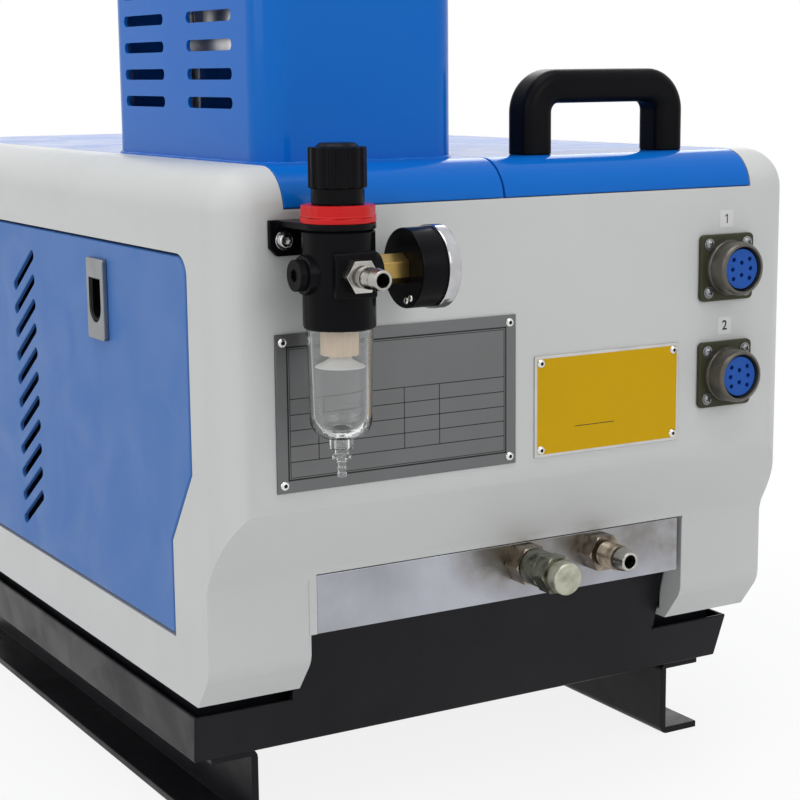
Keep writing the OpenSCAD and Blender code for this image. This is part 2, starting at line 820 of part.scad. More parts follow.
louvre_l = 44;
louvre_w = 6;
louvre_angle = -33;
louvre_first = door_top - 26.8;
window_w = 12;
window_h = 22;
slider_half = 8;
slider_h = 34;
slider_d = 14;
bolt_half = 5;
bolt_x0 = -side_x + 8;
bolt_x1 = -side_x + 15.3;

// The finger window in a latch plate: square at the top, round below
module finger_window(grow) {
    w = window_w + 2 * grow;
    translate([-w / 2, -window_h / 2 + window_w / 2]) square([w, window_h - window_w / 2 + grow]);
    translate([0, -window_h / 2 + window_w / 2]) circle(w / 2);
}

module louvres() {
    for (i = [0:louvre_count - 1])
        translate([0, louvre_first - i * vent_pitch]) rotate(louvre_angle) slot_outline(louvre_l, louvre_w);
}

module side_door() {
    pin_y = rear_y - door_edge - door_step;
    color("cornflowerblue") difference() {
        union() {
            along_x(-side_x, -side_x + door_t) difference() {
                door_outline(0);
                louvres();
                for (y = latch_ys)
                    translate([y, latch_z]) finger_window(1);
            }
            along_x(-side_x + door_t, -side_x + door_depth) difference() {
                door_outline(0);
                door_outline(-door_t);
            }
            // Bosses that take the hinge pins
            for (s = [-1, 1])
                block([-side_x + door_t - 0.1, s * (pin_y - door_t - 3.5) - 4, door_bottom + door_t - 0.1],
                    [-side_x + 12, s * (pin_y - door_t - 3.5) + 4, door_bottom + 14]);
            // Guides beside the latch sliders
            for (y = latch_ys, s = [-1, 1])
                block([-side_x + door_t - 0.1, y + s * (slider_half + 2) - 1.5, latch_z - 20],
                    [-side_x + door_depth - 8, y + s * (slider_half + 2) + 1.5, latch_z + 20]);
        }
        for (s = [-1, 1])
            rod_y(door_axis_x, door_axis_z, door_pin_d / 2 + fit, s * (pin_y - 3) - 5, s * (pin_y - 3) + 5);
        for (y = latch_ys)
            block([bolt_x0, y - bolt_half - seat_gap, door_top - door_t - cut],
                [bolt_x1, y + bolt_half + seat_gap, door_top + cut]);
    }
}

module door_pins() {
    pin_y = rear_y - door_edge - door_step;
    color(metal) for (s = [-1, 1])
        rod_y(door_axis_x, door_axis_z, door_pin_d / 2, s * (pin_y + 1.5) - 8, s * (pin_y + 1.5) + 8);
}

module latch_plates() {
    color("darkgrey") for (y = latch_ys)
        along_x(-side_x - latch_out, -side_x) translate([y, latch_z]) difference() {
            round_rect(latch_w, latch_h, 2);
            finger_window(0);
        }
}

module latch(y) {
    x0 = -side_x + door_t + seat_gap;
    mid_z = latch_z - latch_travel / 2;
    color("#202022") difference() {
        union() {
            block([x0, y - slider_half, mid_z - slider_h / 2],
                [x0 + slider_d, y + slider_half, mid_z + slider_h / 2]);
            block([bolt_x0 + seat_gap, y - bolt_half, latch_z],
                [bolt_x1 - seat_gap, y + bolt_half, door_top - 1]);
        }
        along_x(x0 - cut, x0 + slider_d / 2) translate([y, mid_z]) finger_window(-0.8);
    }
}

module front_latch() {
    latch(latch_ys[0]);
}

module rear_latch() {
    latch(latch_ys[1]);
}

module right_panel() {
    flange = 8;
    color("cornflowerblue") {
        along_x(side_x - door_t, side_x) difference() {
            door_outline(0);
            louvres();
        }
        along_x(side_x - cover_wall - door_t, side_x - door_t) difference() {
            door_outline(0);
            door_outline(-door_t);
        }
        along_x(side_x - cover_wall - door_t, side_x - cover_wall) difference() {
            door_outline(flange);
            door_outline(-door_t);
        }
    }
}

// Hose end: plates, connectors, filter regulator, gauge and hose fittings

module riveted_plate(box) {
    difference() {
        block([box[0][0], front_y - plate_t, box[0][1]], [box[1][0], front_y, box[1][1]]);
        at_rivets() translate([0, 0, -cut]) cylinder(r = rivet_r + fit, h = plate_t + 2 * cut);
    }
}

module data_plate() {
    color("silver") riveted_plate(data_plate_box);
}

module yellow_plate() {
    color("gold") riveted_plate(yellow_plate_box);
}

module plate_rivets() {
    color("silver") at_rivets() {
        translate([0, 0, -cover_wall]) cylinder(r = rivet_r, h = cover_wall + plate_t);
        translate([0, 0, plate_t]) rotate_extrude() intersection() {
            translate([0, -1.6]) circle(2.9);
            square([3, 2]);
        }
    }
}

flange_t = 3;
collar_h = 3;
shell_h = 11;
shell_back = 16;
// Two columns of three contacts, and two contacts between them
contact_r = 1.2;
contact_x = 6.3;
contact_pitch = 5.3;
contact_mid = 3.4;

module connector_shells() {
    color("darkolivegreen") difference() {
        at_connectors() difference() {
            union() {
                linear_extrude(flange_t) round_rect(flange_w, flange_w, 3);
                cylinder(r = shell_d / 2 + 0.8, h = flange_t + collar_h);
                cylinder(r = shell_d / 2, h = flange_t + collar_h + shell_h);
                translate([0, 0, -shell_back]) cylinder(r = shell_d / 2 - 1.4, h = shell_back);
            }
            translate([0, 0, 1]) cylinder(r = insert_d / 2 + fit, h = flange_t + collar_h + shell_h);
        }
        at_connector_screws() translate([0, 0, -cut]) cylinder(r = screw_r + fit, h = flange_t + 2 * cut);
    }
}

module connector_inserts() {
    contacts = concat([[0, contact_mid], [0, -contact_mid]],
        [for (s = [-1, 1], row = [-1:1]) [s * (contact_x - 0.7 * abs(row)), row * contact_pitch]]);
    color("royalblue") at_connectors() difference() {
        translate([0, 0, 1]) cylinder(d = insert_d, h = flange_t + collar_h + shell_h - 3);
        for (c = contacts)
            translate([c[0], c[1], flange_t + 3]) cylinder(r = contact_r, h = 20, $fn = 20);
    }
}

module connector_screws() {
    color("silver") at_connector_screws() {
        translate([0, 0, -cover_wall - 1]) cylinder(r = screw_r, h = cover_wall + flange_t + 2);
        translate([0, 0, flange_t]) cylinder(r = 3.4, h = 0.6);
        translate([0, 0, flange_t + 0.6]) cylinder(r = 2.7, h = 1.8);
    }
}

neck_r = 12.5;
boss_half = 11;
boss_out = 18;
side_boss_r = 9.5;
side_boss_out = 20;
ear_half = 22;
ear_cut = 4;
port_r = 5;

module regulator_bracket() {
    color("#202022") difference() {
        union() {
            along_y(front_y - bracket_t, front_y) translate([regulator_x, ring_z]) polygon([
                [ear_cut - ear_half, -bracket_h], [ear_half, -bracket_h], [ear_half, 0], [-ear_half, 0],
                [-ear_half, ear_cut - bracket_h]]);
            translate([regulator_x, 0, body_top]) {
                translate([0, regulator_y, 0]) cylinder(r = ring_r, h = ring_z - body_top);
                block([-ring_r, regulator_y, 0], [ring_r, front_y - bracket_t, ring_z - body_top]);
            }
        }
        translate([regulator_x, regulator_y, body_top - cut]) cylinder(r = neck_r + fit, h = 20);
        for (x = bracket_screw_xs)
            rod_y(x, bracket_screw_z, bracket_screw_r + fit, front_y - bracket_t - cut, front_y + cut);
    }
}

module panel_screws() {
    color("silver") for (x = bracket_screw_xs) {
        rod_y(x, bracket_screw_z, bracket_screw_r, front_y - bracket_t - 1, front_y + cover_wall + 2);
        rod_y(x, bracket_screw_z, 3.8, front_y - bracket_t - 2.6, front_y - bracket_t);
    }
}

spindle_r = 4;
spindle_top = knob_z + knob_h - 6;
ring_r = 18;

module regulator_body() {
    color("#18181a") difference() {
        translate([regulator_x, regulator_y, 0]) {
            translate([0, 0, body_z]) cylinder(d = body_d, h = body_top - body_z);
            translate([0, 0, body_top - 1]) cylinder(r = neck_r, h = ring_z + ring_h - body_top + 1);
            // Bosses of the inlet in front, the gauge port on the right and the plugged port on the left
            block([-boss_half, -boss_out, port_z - boss_half], [boss_half, 0, port_z + boss_half]);
            rod_x(0, port_z, side_boss_r, -side_boss_out, side_boss_out);
        }
        rod_y(regulator_x, port_z, port_r + fit, regulator_y - boss_out - cut, regulator_y - 4);
        for (s = [-1, 1])
            translate([regulator_x + s * 6, regulator_y, port_z]) rotate([0, s * 90, 0])
                cylinder(r = port_r + fit, h = side_boss_out);
        translate([regulator_x, regulator_y, ring_z - 1]) cylinder(r = spindle_r + fit, h = ring_h + 2 * cut);
    }
}

module regulator_ring() {
    flat_w = 34;
    flange_h = 3;
    color("red") translate([regulator_x, regulator_y, ring_z]) difference() {
        union() {
            cylinder(r = ring_r, h = flange_h);
            // Eight flats for a spanner above the flange
            intersection() {
                cylinder(r = ring_r - 0.4, h = ring_h);
                rotate(360 / 16) cylinder(r = flat_w / 2 / cos(360 / 16), h = ring_h, $fn = 8);
            }
        }
        translate([0, 0, -cut]) cylinder(r = neck_r + fit, h = ring_h + 2 * cut);
    }
}

module regulator_spindle() {
    color("silver") translate([regulator_x, regulator_y, ring_z])
        cylinder(r = spindle_r, h = spindle_top - ring_z);
}

module regulator_knob() {
    flutes = 14;
    flute_r = 2.2;
    skirt_h = 7.5;
    cap_h = 2;
    color("#18181a") translate([regulator_x, regulator_y, knob_z]) difference() {
        union() {
            // The plain skirt, the fluted grip and the cap on it
            cylinder(d = knob_d - 2.4, h = skirt_h);
            translate([0, 0, skirt_h]) linear_extrude(knob_h - skirt_h - cap_h) difference() {
                circle(d = knob_d);
                for (i = [0:flutes - 1])
                    rotate((i + 0.5) * 360 / flutes) translate([knob_d / 2 + 1.2, 0])
                        circle(flute_r, $fn = 16);
            }
            translate([0, 0, knob_h - cap_h])
                cylinder(r1 = knob_d / 2 - 3.2, r2 = knob_d / 2 - 5.6, h = cap_h);
        }
        translate([0, 0, -cut]) cylinder(r = spindle_r + fit, h = knob_h - 4 + cut);
    }
}

drain_r = 3.2;
dome_r = 9;
outlet_r = 5.7;
outlet_h = 5;

// Half of the bowl's section, drawn in by an inset
module bowl_half(inset) {
    low_r = bowl_d / 2 - 1 - inset;
    polygon(concat([[0, body_z + inset], [0, bowl_z + inset]],
        [for (a = [0:15:90]) [low_r - dome_r + dome_r * sin(a), bowl_z + inset + dome_r * (1 - cos(a))]],
        [[bowl_d / 2 - inset, body_z + inset]]));
}

module filter_bowl() {
    color("white", 0.35) translate([regulator_x, regulator_y, 0]) rotate_extrude() difference() {
        union() {
            bowl_half(0);
            translate([0, bowl_z - outlet_h]) square([outlet_r, outlet_h + bowl_wall / 2]);
        }
        bowl_half(bowl_wall);
        translate([0, bowl_z - outlet_h - cut]) square([drain_r + 0.1, outlet_h + bowl_wall + 2 * cut]);
    }
}

// The ribbed filter holder, and the baffle below it that keeps the water still
module filter_element() {
    holder_r = 9.2;
    holder_h = 12.7;
    neck_h = 2.3;
    baffle_r = 12;
    baffle_h = 4.5;
    ribs = 12;
    color("wheat") translate([regulator_x, regulator_y, body_z - holder_h]) {
        difference() {
            cylinder(r = holder_r, h = holder_h);
            for (i = [0:ribs - 1])
                rotate(i * 360 / ribs) translate([holder_r + 0.4, 0, -cut])
                    cylinder(r = 1.2, h = holder_h - 2 + cut, $fn = 16);
        }
        translate([0, 0, -neck_h]) cylinder(r = 4.5, h = neck_h + 1);
        translate([0, 0, -neck_h - baffle_h + 1]) cylinder(r1 = baffle_r, r2 = 4.5, h = baffle_h);
    }
}

module drain_valve() {
    inner_z = bowl_z + bowl_wall + seat_gap;
    collar_top = bowl_z - outlet_h - drain_travel - seat_gap;
    collar_h = 1.8;
    nipple_r = 1.8;
    color("white") translate([regulator_x, regulator_y, 0]) {
        translate([0, 0, inner_z]) cylinder(r = 5, h = 1.5);
        translate([0, 0, collar_top - 1]) cylinder(r = drain_r, h = inner_z - collar_top + 2);
        translate([0, 0, collar_top - collar_h]) cylinder(r = 4.6, h = collar_h);
        translate([0, 0, collar_top - collar_h - 9]) cylinder(r = nipple_r, h = 10);
        for (i = [1:3])
            translate([0, 0, collar_top - collar_h - 3 * i])
                cylinder(r1 = nipple_r, r2 = nipple_r + 0.7, h = 1.8);
    }
}

module inlet_barb() {
    face_y = regulator_y - boss_out;
    screw_l = 11;
    hex_r = 8.6;
    tail_r = 5.3;
    tail_l = 24;
    tail_bore_r = 3.4;
    barb_l = 6;
    color("silver") translate([regulator_x, face_y, port_z]) rotate([90, 0, 0]) difference() {
        union() {
            translate([0, 0, -screw_l]) cylinder(r = port_r, h = screw_l + 1);
            cylinder(r = hex_r, h = barb_l, $fn = 6);
            cylinder(r = tail_r - 0.9, h = tail_l);
            translate([0, 0, 8]) cylinder(r = tail_r, h = 2.5);
            for (z = [tail_l / 2, tail_l - barb_l])
                translate([0, 0, z]) cylinder(r1 = tail_r, r2 = tail_r - 0.7, h = barb_l);
        }
        translate([0, 0, -screw_l - cut]) cylinder(r = tail_bore_r, h = screw_l + tail_l + 2 * cut);
    }
}

module port_plug() {
    face_x = regulator_x - side_boss_out;
    head_r = 7.5;
    head_l = 4;
    key_r = 3.2;
    color("#303030") {
        rod_x(regulator_y, port_z, port_r, face_x - 1, face_x + 11);
        difference() {
            rod_x(regulator_y, port_z, head_r, face_x - head_l, face_x);
            rod_x(regulator_y, port_z, key_r, face_x - head_l - cut, face_x - 1.5, 6);
        }
    }
}

gauge_back = regulator_x + 35;
case_l = 18;
case_r = gauge_d / 2 - 1;
dial_r = case_r - 2;
cup = 5;
dial_t = 0.6;
post_tip = 3.2;

module gauge_stem() {
    color("goldenrod") {
        rod_x(regulator_y, port_z, port_r, regulator_x + 9, gauge_back - 1);
        rod_x(regulator_y, port_z, 7.5, regulator_x + side_boss_out, gauge_back, 6);
    }
}

module gauge_case() {
    front = gauge_back + case_l;
    color("#18181a") {
        difference() {
            rod_x(regulator_y, port_z, case_r, gauge_back, front);
            rod_x(regulator_y, port_z, dial_r + 0.1, front - cup, front + cut);
        }
        rod_x(regulator_y, port_z, 1, front - cup - 1, front - cup + post_tip);
    }
}

module gauge_dial() {
    x = gauge_back + case_l - cup;
    color("white") difference() {
        rod_x(regulator_y, port_z, dial_r, x, x + dial_t);
        rod_x(regulator_y, port_z, 1.2, x - cut, x + cut);
    }
}

module gauge_needle() {
    x = gauge_back + case_l - cup + 1.4;
    color("black") difference() {
        union() {
            rod_x(regulator_y, port_z, 2.2, x, x + 0.8);
            translate([x, regulator_y, port_z]) rotate([135, 0, 0]) {
                translate([0, -0.5, -5]) cube([0.8, 1, 17]);
            }
        }
        rod_x(regulator_y, port_z, 1 + fit, x - cut, x + 2);
    }
}

module gauge_bezel() {
    front = gauge_back + case_l;
    color("silver") difference() {
        rod_x(regulator_y, port_z, gauge_d / 2, front - 4, front + 3);
        rod_x(regulator_y, port_z, case_r + fit, front - 4 - cut, front);
        rod_x(regulator_y, port_z, dial_r - 0.7, front - cut, front + 3 + cut);
    }
}

module gauge_lens() {
    front = gauge_back + case_l;
    color("white", 0.3) rod_x(regulator_y, port_z, dial_r, front - 1, front);
}

cap_r = 9.5;
stub_r = 7;
stub_l = 28;
nose_r = 7.25;
nose_l = 14;
cone_l = 8;
// Radius over the corners and length of the two adapters' hexagons
capped_hex_r = 11.5;
capped_hex_l = 13;
open_hex_r = 11;
open_hex_l = 12;

module hose_adapters() {
    nose_y = fitting_y - open_hex_l - nose_l;
    color("tan") difference() {
        union() {
            for (x = fitting_xs)
                rod_y(x, fitting_z, thread_r, fitting_y - 1, fitting_y + thread_l);
            rod_y(fitting_xs[0], fitting_z, capped_hex_r, fitting_y - capped_hex_l, fitting_y, 6);
            rod_y(fitting_xs[0], fitting_z, stub_r, fitting_y - stub_l, fitting_y - 1);
            rod_y(fitting_xs[1], fitting_z, open_hex_r, fitting_y - open_hex_l, fitting_y, 6);
            rod_y(fitting_xs[1], fitting_z, nose_r, nose_y, fitting_y - open_hex_l);
            translate([fitting_xs[1], nose_y, fitting_z]) rotate([90, 0, 0])
                cylinder(r1 = nose_r - 0.8, r2 = nose_r - 2, h = cone_l);
        }
        rod_y(fitting_xs[1], fitting_z, fitting_bore / 2, nose_y - cone_l - cut, fitting_y + thread_l + cut);
    }
}

module hose_cap() {
    cap_y = fitting_y - capped_hex_l;
    nut_r = 11;
    nut_l = 14;
    dome_l = 10;
    tip_r = 6.6;
    tip_l = 8;
    color("tan") translate([fitting_xs[0], cap_y, fitting_z]) rotate([90, 0, 0]) difference() {
        union() {
            cylinder(r = nut_r, h = nut_l, $fn = 6);
            translate([0, 0, nut_l]) cylinder(r1 = cap_r, r2 = cap_r - 1.5, h = dome_l);
            translate([0, 0, nut_l + dome_l]) cylinder(r = tip_r, h = tip_l);
        }
        translate([0, 0, -cut]) cylinder(r = stub_r + fit, h = stub_l - capped_hex_l + 2 * cut);
    }
}

// Control end

switch_x = 84;
switch_shaft_r = 6;
button_r = 8;
button_xs = [34, 4];
panel_t = 3;
button_out = 5;

module control_panel() {
    color("#34363a") along_y(rear_y, rear_y + panel_t) translate([0, panel_z]) difference() {
        round_rect(panel_w, panel_h, 6);
        translate([-switch_x, 0]) circle(switch_shaft_r + fit);
        for (x = button_xs)
            translate([-x, 0]) circle(button_r + fit);
    }
    // Frame of the temperature display
    color("#18181a") along_y(rear_y + panel_t, rear_y + panel_t + 2) translate([64, panel_z]) difference() {
        round_rect(90, 60, 4);
        square([78, 40], center = true);
    }
}

module main_switch() {
    face_y = rear_y + panel_t;
    color("red") {
        rod_y(-switch_x, panel_z, switch_shaft_r, rear_y - 12, face_y + 1);
        rod_y(-switch_x, panel_z, 19, face_y + seat_gap, face_y + 6);
        block([-switch_x - 4, face_y + 5, panel_z - 18], [-switch_x + 4, face_y + 16, panel_z + 18]);
    }
}

module push_button(x) {
    rod_y(-x, panel_z, button_r, rear_y - 8, rear_y + panel_t + button_out);
    rod_y(-x, panel_z, button_r + 2, rear_y - 8, rear_y - seat_gap);
}

module start_button() {
    color("green") push_button(button_xs[0]);
}

module stop_button() {
    color("red") push_button(button_xs[1]);
}

module cable_gland() {
    face_y = rear_y - waist_depth;
    color("#202022") translate([gland_x, face_y, gland_z]) rotate([-90, 0, 0]) difference() {
        union() {
            translate([0, 0, -cover_wall - 6]) cylinder(r = gland_r, h = cover_wall + 7);
            cylinder(r = 15, h = 6, $fn = 6);
            translate([0, 0, 6]) cylinder(r = 12.5, h = 8);
            translate([0, 0, 14]) cylinder(r1 = 12.5, r2 = 8, h = 6);
            translate([0, 0, -cover_wall - 5]) cylinder(r = 15, h = 5, $fn = 6);
        }
        translate([0, 0, -cover_wall - 8]) cylinder(r = 4.5, h = 50);
    }
}

left_rail();
right_rail();
base_tray();
sill_frame();
main_cover();
pump_deck_cover();
tower_cover();
rear_top_cover();
tank_lid();
lid_hinge_leaves();
lid_hinge_brackets();
lid_handle();
handle_screws();
tank();
tank_collar();
tank_legs();
manifold_block();
pump_body();
pump_posts();
cylinder_heads();
cylinder_barrel();
pump_rod();
air_valve();
electrics_plate();
side_door();
door_pins();
latch_plates();
front_latch();
rear_latch();
right_panel();
panel_screws();
data_plate();
yellow_plate();
plate_rivets();
connector_shells();
connector_inserts();
connector_screws();
regulator_bracket();
regulator_body();
regulator_ring();
regulator_spindle();
regulator_knob();
filter_bowl();
filter_element();
drain_valve();
inlet_barb();
port_plug();
gauge_stem();
gauge_case();
gauge_bezel();
gauge_dial();
gauge_needle();
gauge_lens();
hose_adapters();
hose_cap();
control_panel();
main_switch();
start_button();
stop_button();
cable_gland();
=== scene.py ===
import json
import math

import bmesh
import bpy
from mathutils import Matrix, Vector

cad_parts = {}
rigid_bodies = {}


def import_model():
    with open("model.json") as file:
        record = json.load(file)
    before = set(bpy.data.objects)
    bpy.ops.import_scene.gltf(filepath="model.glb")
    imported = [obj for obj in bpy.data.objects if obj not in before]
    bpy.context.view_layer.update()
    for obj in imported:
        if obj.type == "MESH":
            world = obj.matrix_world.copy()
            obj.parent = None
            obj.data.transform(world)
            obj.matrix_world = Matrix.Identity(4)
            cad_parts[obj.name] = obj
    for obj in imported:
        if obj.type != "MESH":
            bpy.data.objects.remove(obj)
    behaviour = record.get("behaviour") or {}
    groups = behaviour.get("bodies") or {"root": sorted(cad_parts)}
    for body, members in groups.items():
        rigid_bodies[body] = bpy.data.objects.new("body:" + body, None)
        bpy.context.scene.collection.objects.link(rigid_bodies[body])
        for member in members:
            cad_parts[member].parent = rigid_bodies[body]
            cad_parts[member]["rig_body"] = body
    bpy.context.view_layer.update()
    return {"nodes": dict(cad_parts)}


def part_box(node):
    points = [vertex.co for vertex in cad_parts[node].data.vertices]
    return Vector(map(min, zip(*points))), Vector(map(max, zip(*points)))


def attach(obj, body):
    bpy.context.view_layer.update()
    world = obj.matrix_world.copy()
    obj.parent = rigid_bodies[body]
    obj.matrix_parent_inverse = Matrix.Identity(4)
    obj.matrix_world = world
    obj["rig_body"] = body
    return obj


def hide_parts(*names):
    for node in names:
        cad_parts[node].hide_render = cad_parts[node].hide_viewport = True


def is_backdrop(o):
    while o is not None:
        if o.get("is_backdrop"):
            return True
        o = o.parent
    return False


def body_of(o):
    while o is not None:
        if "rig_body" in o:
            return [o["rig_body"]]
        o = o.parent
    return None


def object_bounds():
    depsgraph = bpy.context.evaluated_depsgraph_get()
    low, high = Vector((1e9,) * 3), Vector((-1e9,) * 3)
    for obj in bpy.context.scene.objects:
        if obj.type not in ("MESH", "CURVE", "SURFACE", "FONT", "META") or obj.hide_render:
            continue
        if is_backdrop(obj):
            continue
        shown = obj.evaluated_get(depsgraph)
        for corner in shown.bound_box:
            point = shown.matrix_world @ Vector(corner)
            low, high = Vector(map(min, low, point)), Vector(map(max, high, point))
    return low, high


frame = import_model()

# Camera: it stands in front of the hose end's left corner, a little above the deck.
# Its place, turn and lens are worked out from the vanishing lines of the picture.
def placed(name, data):
    """A new object in the scene, with its data."""
    obj = bpy.data.objects.new(name, data)
    bpy.context.scene.collection.objects.link(obj)
    return obj


photo_px = 800
focal_px = 1862.4
sensor_mm = 36.0
camera_data = bpy.data.cameras.new("photo_camera")
camera_data.sensor_width = sensor_mm
camera_data.lens = sensor_mm * focal_px / photo_px
camera_data.clip_start, camera_data.clip_end = 0.02, 50
camera = placed("photo_camera", camera_data)
yaw, pitch, roll = math.radians(30.27), math.radians(10.03), math.radians(-0.573)
camera.matrix_world = (
    Matrix.Translation((-0.5491, -1.0816, 0.403))
    @ Matrix.Rotation(-yaw, 4, "Z")
    @ Matrix.Rotation(math.pi / 2 - pitch, 4, "X")
    @ Matrix.Rotation(roll, 4, "Z")
)
bpy.context.scene.camera = camera

# Studio: a pale floor that takes the shadow, a white surround, and soft boxes over and beside the unit.
# The surround shows white to the eye and in reflections, and lights the unit more gently. The floor
# turns plain white away from the unit, so that no horizon shows.
def mesh_of(name, form):
    """A new mesh made of a form, which is used up."""
    mesh = bpy.data.meshes.new(name)
    form.to_mesh(mesh)
    form.free()
    return mesh


def set_inputs(node, values):
    """Gives inputs of a node their values."""
    for socket, value in values.items():
        node.inputs[socket].default_value = value


def add_node(tree, kind, values=None, **settings):
    """A new shader node in a tree, with its settings and the values of its inputs."""
    node = tree.nodes.new("ShaderNode" + kind)
    for setting, value in settings.items():
        setattr(node, setting, value)
    set_inputs(node, values or {})
    return node


def wire(tree, *links):
    """Links in a tree, each from an output of one node to an input of another."""
    for source, output, target, socket in links:
        tree.links.new(source.outputs[output], target.inputs[socket])


def seen_share(tree):
    """A node that is one for rays from the eye, through clear matter or off a gloss, else nothing."""
    rays = add_node(tree, "LightPath")
    direct, seen = (add_node(tree, "Math", operation="MAXIMUM") for _ in range(2))
    wire(
        tree,
        (rays, "Is Camera Ray", direct, 0),
        (rays, "Is Transmission Ray", direct, 1),
        (direct, "Value", seen, 0),
        (rays, "Is Glossy Ray", seen, 1),
    )
    return seen


plain_white = (1, 1, 1, 1)
bpy.context.scene.view_settings.view_transform = "Standard"
world = bpy.data.worlds.new("studio_white")
bpy.context.scene.world = world
world.use_nodes = True
sky = world.node_tree
sky.nodes.clear()
fill = add_node(sky, "Background", {"Color": (0.93, 0.96, 1.0, 1), "Strength": 0.44})
white = add_node(sky, "Background", {"Color": plain_white, "Strength": 1.0})
either = add_node(sky, "MixShader")
wire(
    sky,
    (seen_share(sky), "Value", either, "Fac"),
    (fill, "Background", either, 1),
    (white, "Background", either, 2),
    (either, "Shader", add_node(sky, "OutputWorld"), "Surface"),
)

floor_half = 6
fade_range = {"From Min": 0.28, "From Max": 0.55, "To Min": 0.86, "To Max": 1.0}
sheet = bmesh.new()
bmesh.ops.create_grid(sheet, x_segments=1, y_segments=1, size=floor_half)
floor_mesh = mesh_of("studio_floor", sheet)
floor = placed("studio_floor", floor_mesh)
floor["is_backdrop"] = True
floor_paint = bpy.data.materials.new("studio_floor")
floor_paint.use_nodes = True
ground = floor_paint.node_tree
matt = ground.nodes["Principled BSDF"]
set_inputs(matt, {"Base Color": (0.78, 0.78, 0.78, 1), "Roughness": 0.9})
glow = add_node(ground, "Emission", {"Color": plain_white})
spot = add_node(ground, "TexCoord")
away = add_node(ground, "VectorMath", operation="LENGTH")
fade = add_node(ground, "MapRange", fade_range)
lift = add_node(ground, "Math", operation="MULTIPLY")
floor_mix = add_node(ground, "MixShader")
wire(
    ground,
    (spot, "Object", away, 0),
    (away, "Value", fade, "Value"),
    (seen_share(ground), "Value", lift, 0),
    (fade, "Result", lift, 1),
    (lift, "Value", floor_mix, "Fac"),
    (matt, "BSDF", floor_mix, 1),
    (glow, "Emission", floor_mix, 2),
    (floor_mix, "Shader", ground.nodes["Material Output"], "Surface"),
)
floor_mesh.materials.append(floor_paint)


def soft_box(name, place, target, size, watts):
    """An area lamp at place that faces target."""
    lamp_data = bpy.data.lights.new(name, "AREA")
    lamp_data.shape = "RECTANGLE"
    lamp_data.size, lamp_data.size_y = size
    lamp_data.energy = watts
    lamp = placed(name, lamp_data)
    lamp.location = place
    lamp.rotation_mode = "QUATERNION"
    lamp.rotation_quaternion = (Vector(target) - Vector(place)).to_track_quat("-Z", "Y")


soft_box("box_over", (-0.3, -0.3, 2.3), (0, 0, 0.2), (2.0, 1.6), 26)
soft_box("box_front", (0.3, -2.4, 1.3), (0, 0, 0.25), (1.6, 1.2), 13)
soft_box("box_left", (-2.3, -0.2, 1.1), (0, 0, 0.25), (1.4, 1.4), 11.5)
soft_box("box_back", (1.4, 2.0, 1.6), (0, 0, 0.3), (1.6, 1.2), 16)


# Rails: two lengths of channel that stand on the floor, with a bolt hole near each end of the lower flange.
# They are folded from steel sheet, round at the outer folds, and painted satin black with the tray.
def copied(node):
    """A copy of a node's mesh in millimetres, its loose triangles merged into flat faces."""
    form = bmesh.new()
    form.from_mesh(frame["nodes"][node].data)
    bmesh.ops.scale(form, vec=(1000, 1000, 1000), verts=form.verts)
    bmesh.ops.remove_doubles(form, verts=form.verts, dist=0.002)
    bmesh.ops.dissolve_limit(form, angle_limit=math.radians(0.4), verts=form.verts, edges=form.edges)
    return form


def box_of(node):
    """The two corners of a node's box, in millimetres."""
    return [Vector(corner) * 1000 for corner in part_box(node)]


def soften(form, radius, segments=2, chosen=None, angle=35):
    """Rounds the sharp edges of a form, or those of them that chosen picks."""
    folded = [e for e in form.edges if len(e.link_faces) == 2]
    sharp = [e for e in folded if e.calc_face_angle() > math.radians(angle)]
    if chosen:
        sharp = [e for e in sharp if chosen(e)]
    bmesh.ops.bevel(
        form, geom=sharp, offset=radius, affect="EDGES", segments=segments, profile=0.5, material=-1,
        clamp_overlap=False,
    )
    return form


def at(edge, axis, place, slack=0.05):
    """Whether an edge lies in the plane at a place along an axis (0, 1 or 2)."""
    return all(abs(v.co[axis] - place) < slack for v in edge.verts)


def piece(name, form, kind, *nodes, body="frame", smooth=32):
    """Makes a form, in millimetres, a piece that stands for some nodes and rides with them, or on a body."""
    bmesh.ops.scale(form, vec=(0.001, 0.001, 0.001), verts=form.verts)
    mesh = mesh_of(name, form)
    mesh.materials.append(kind)
    mesh.shade_smooth()
    mesh.set_sharp_from_angle(angle=math.radians(smooth))
    obj = placed(name, mesh)
    even = obj.modifiers.new("even_normals", "WEIGHTED_NORMAL")
    even.keep_sharp = True
    if nodes:
        body = body_of(frame["nodes"][nodes[0]])[0]
    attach(obj, body)
    if nodes:
        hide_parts(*nodes)
    return obj


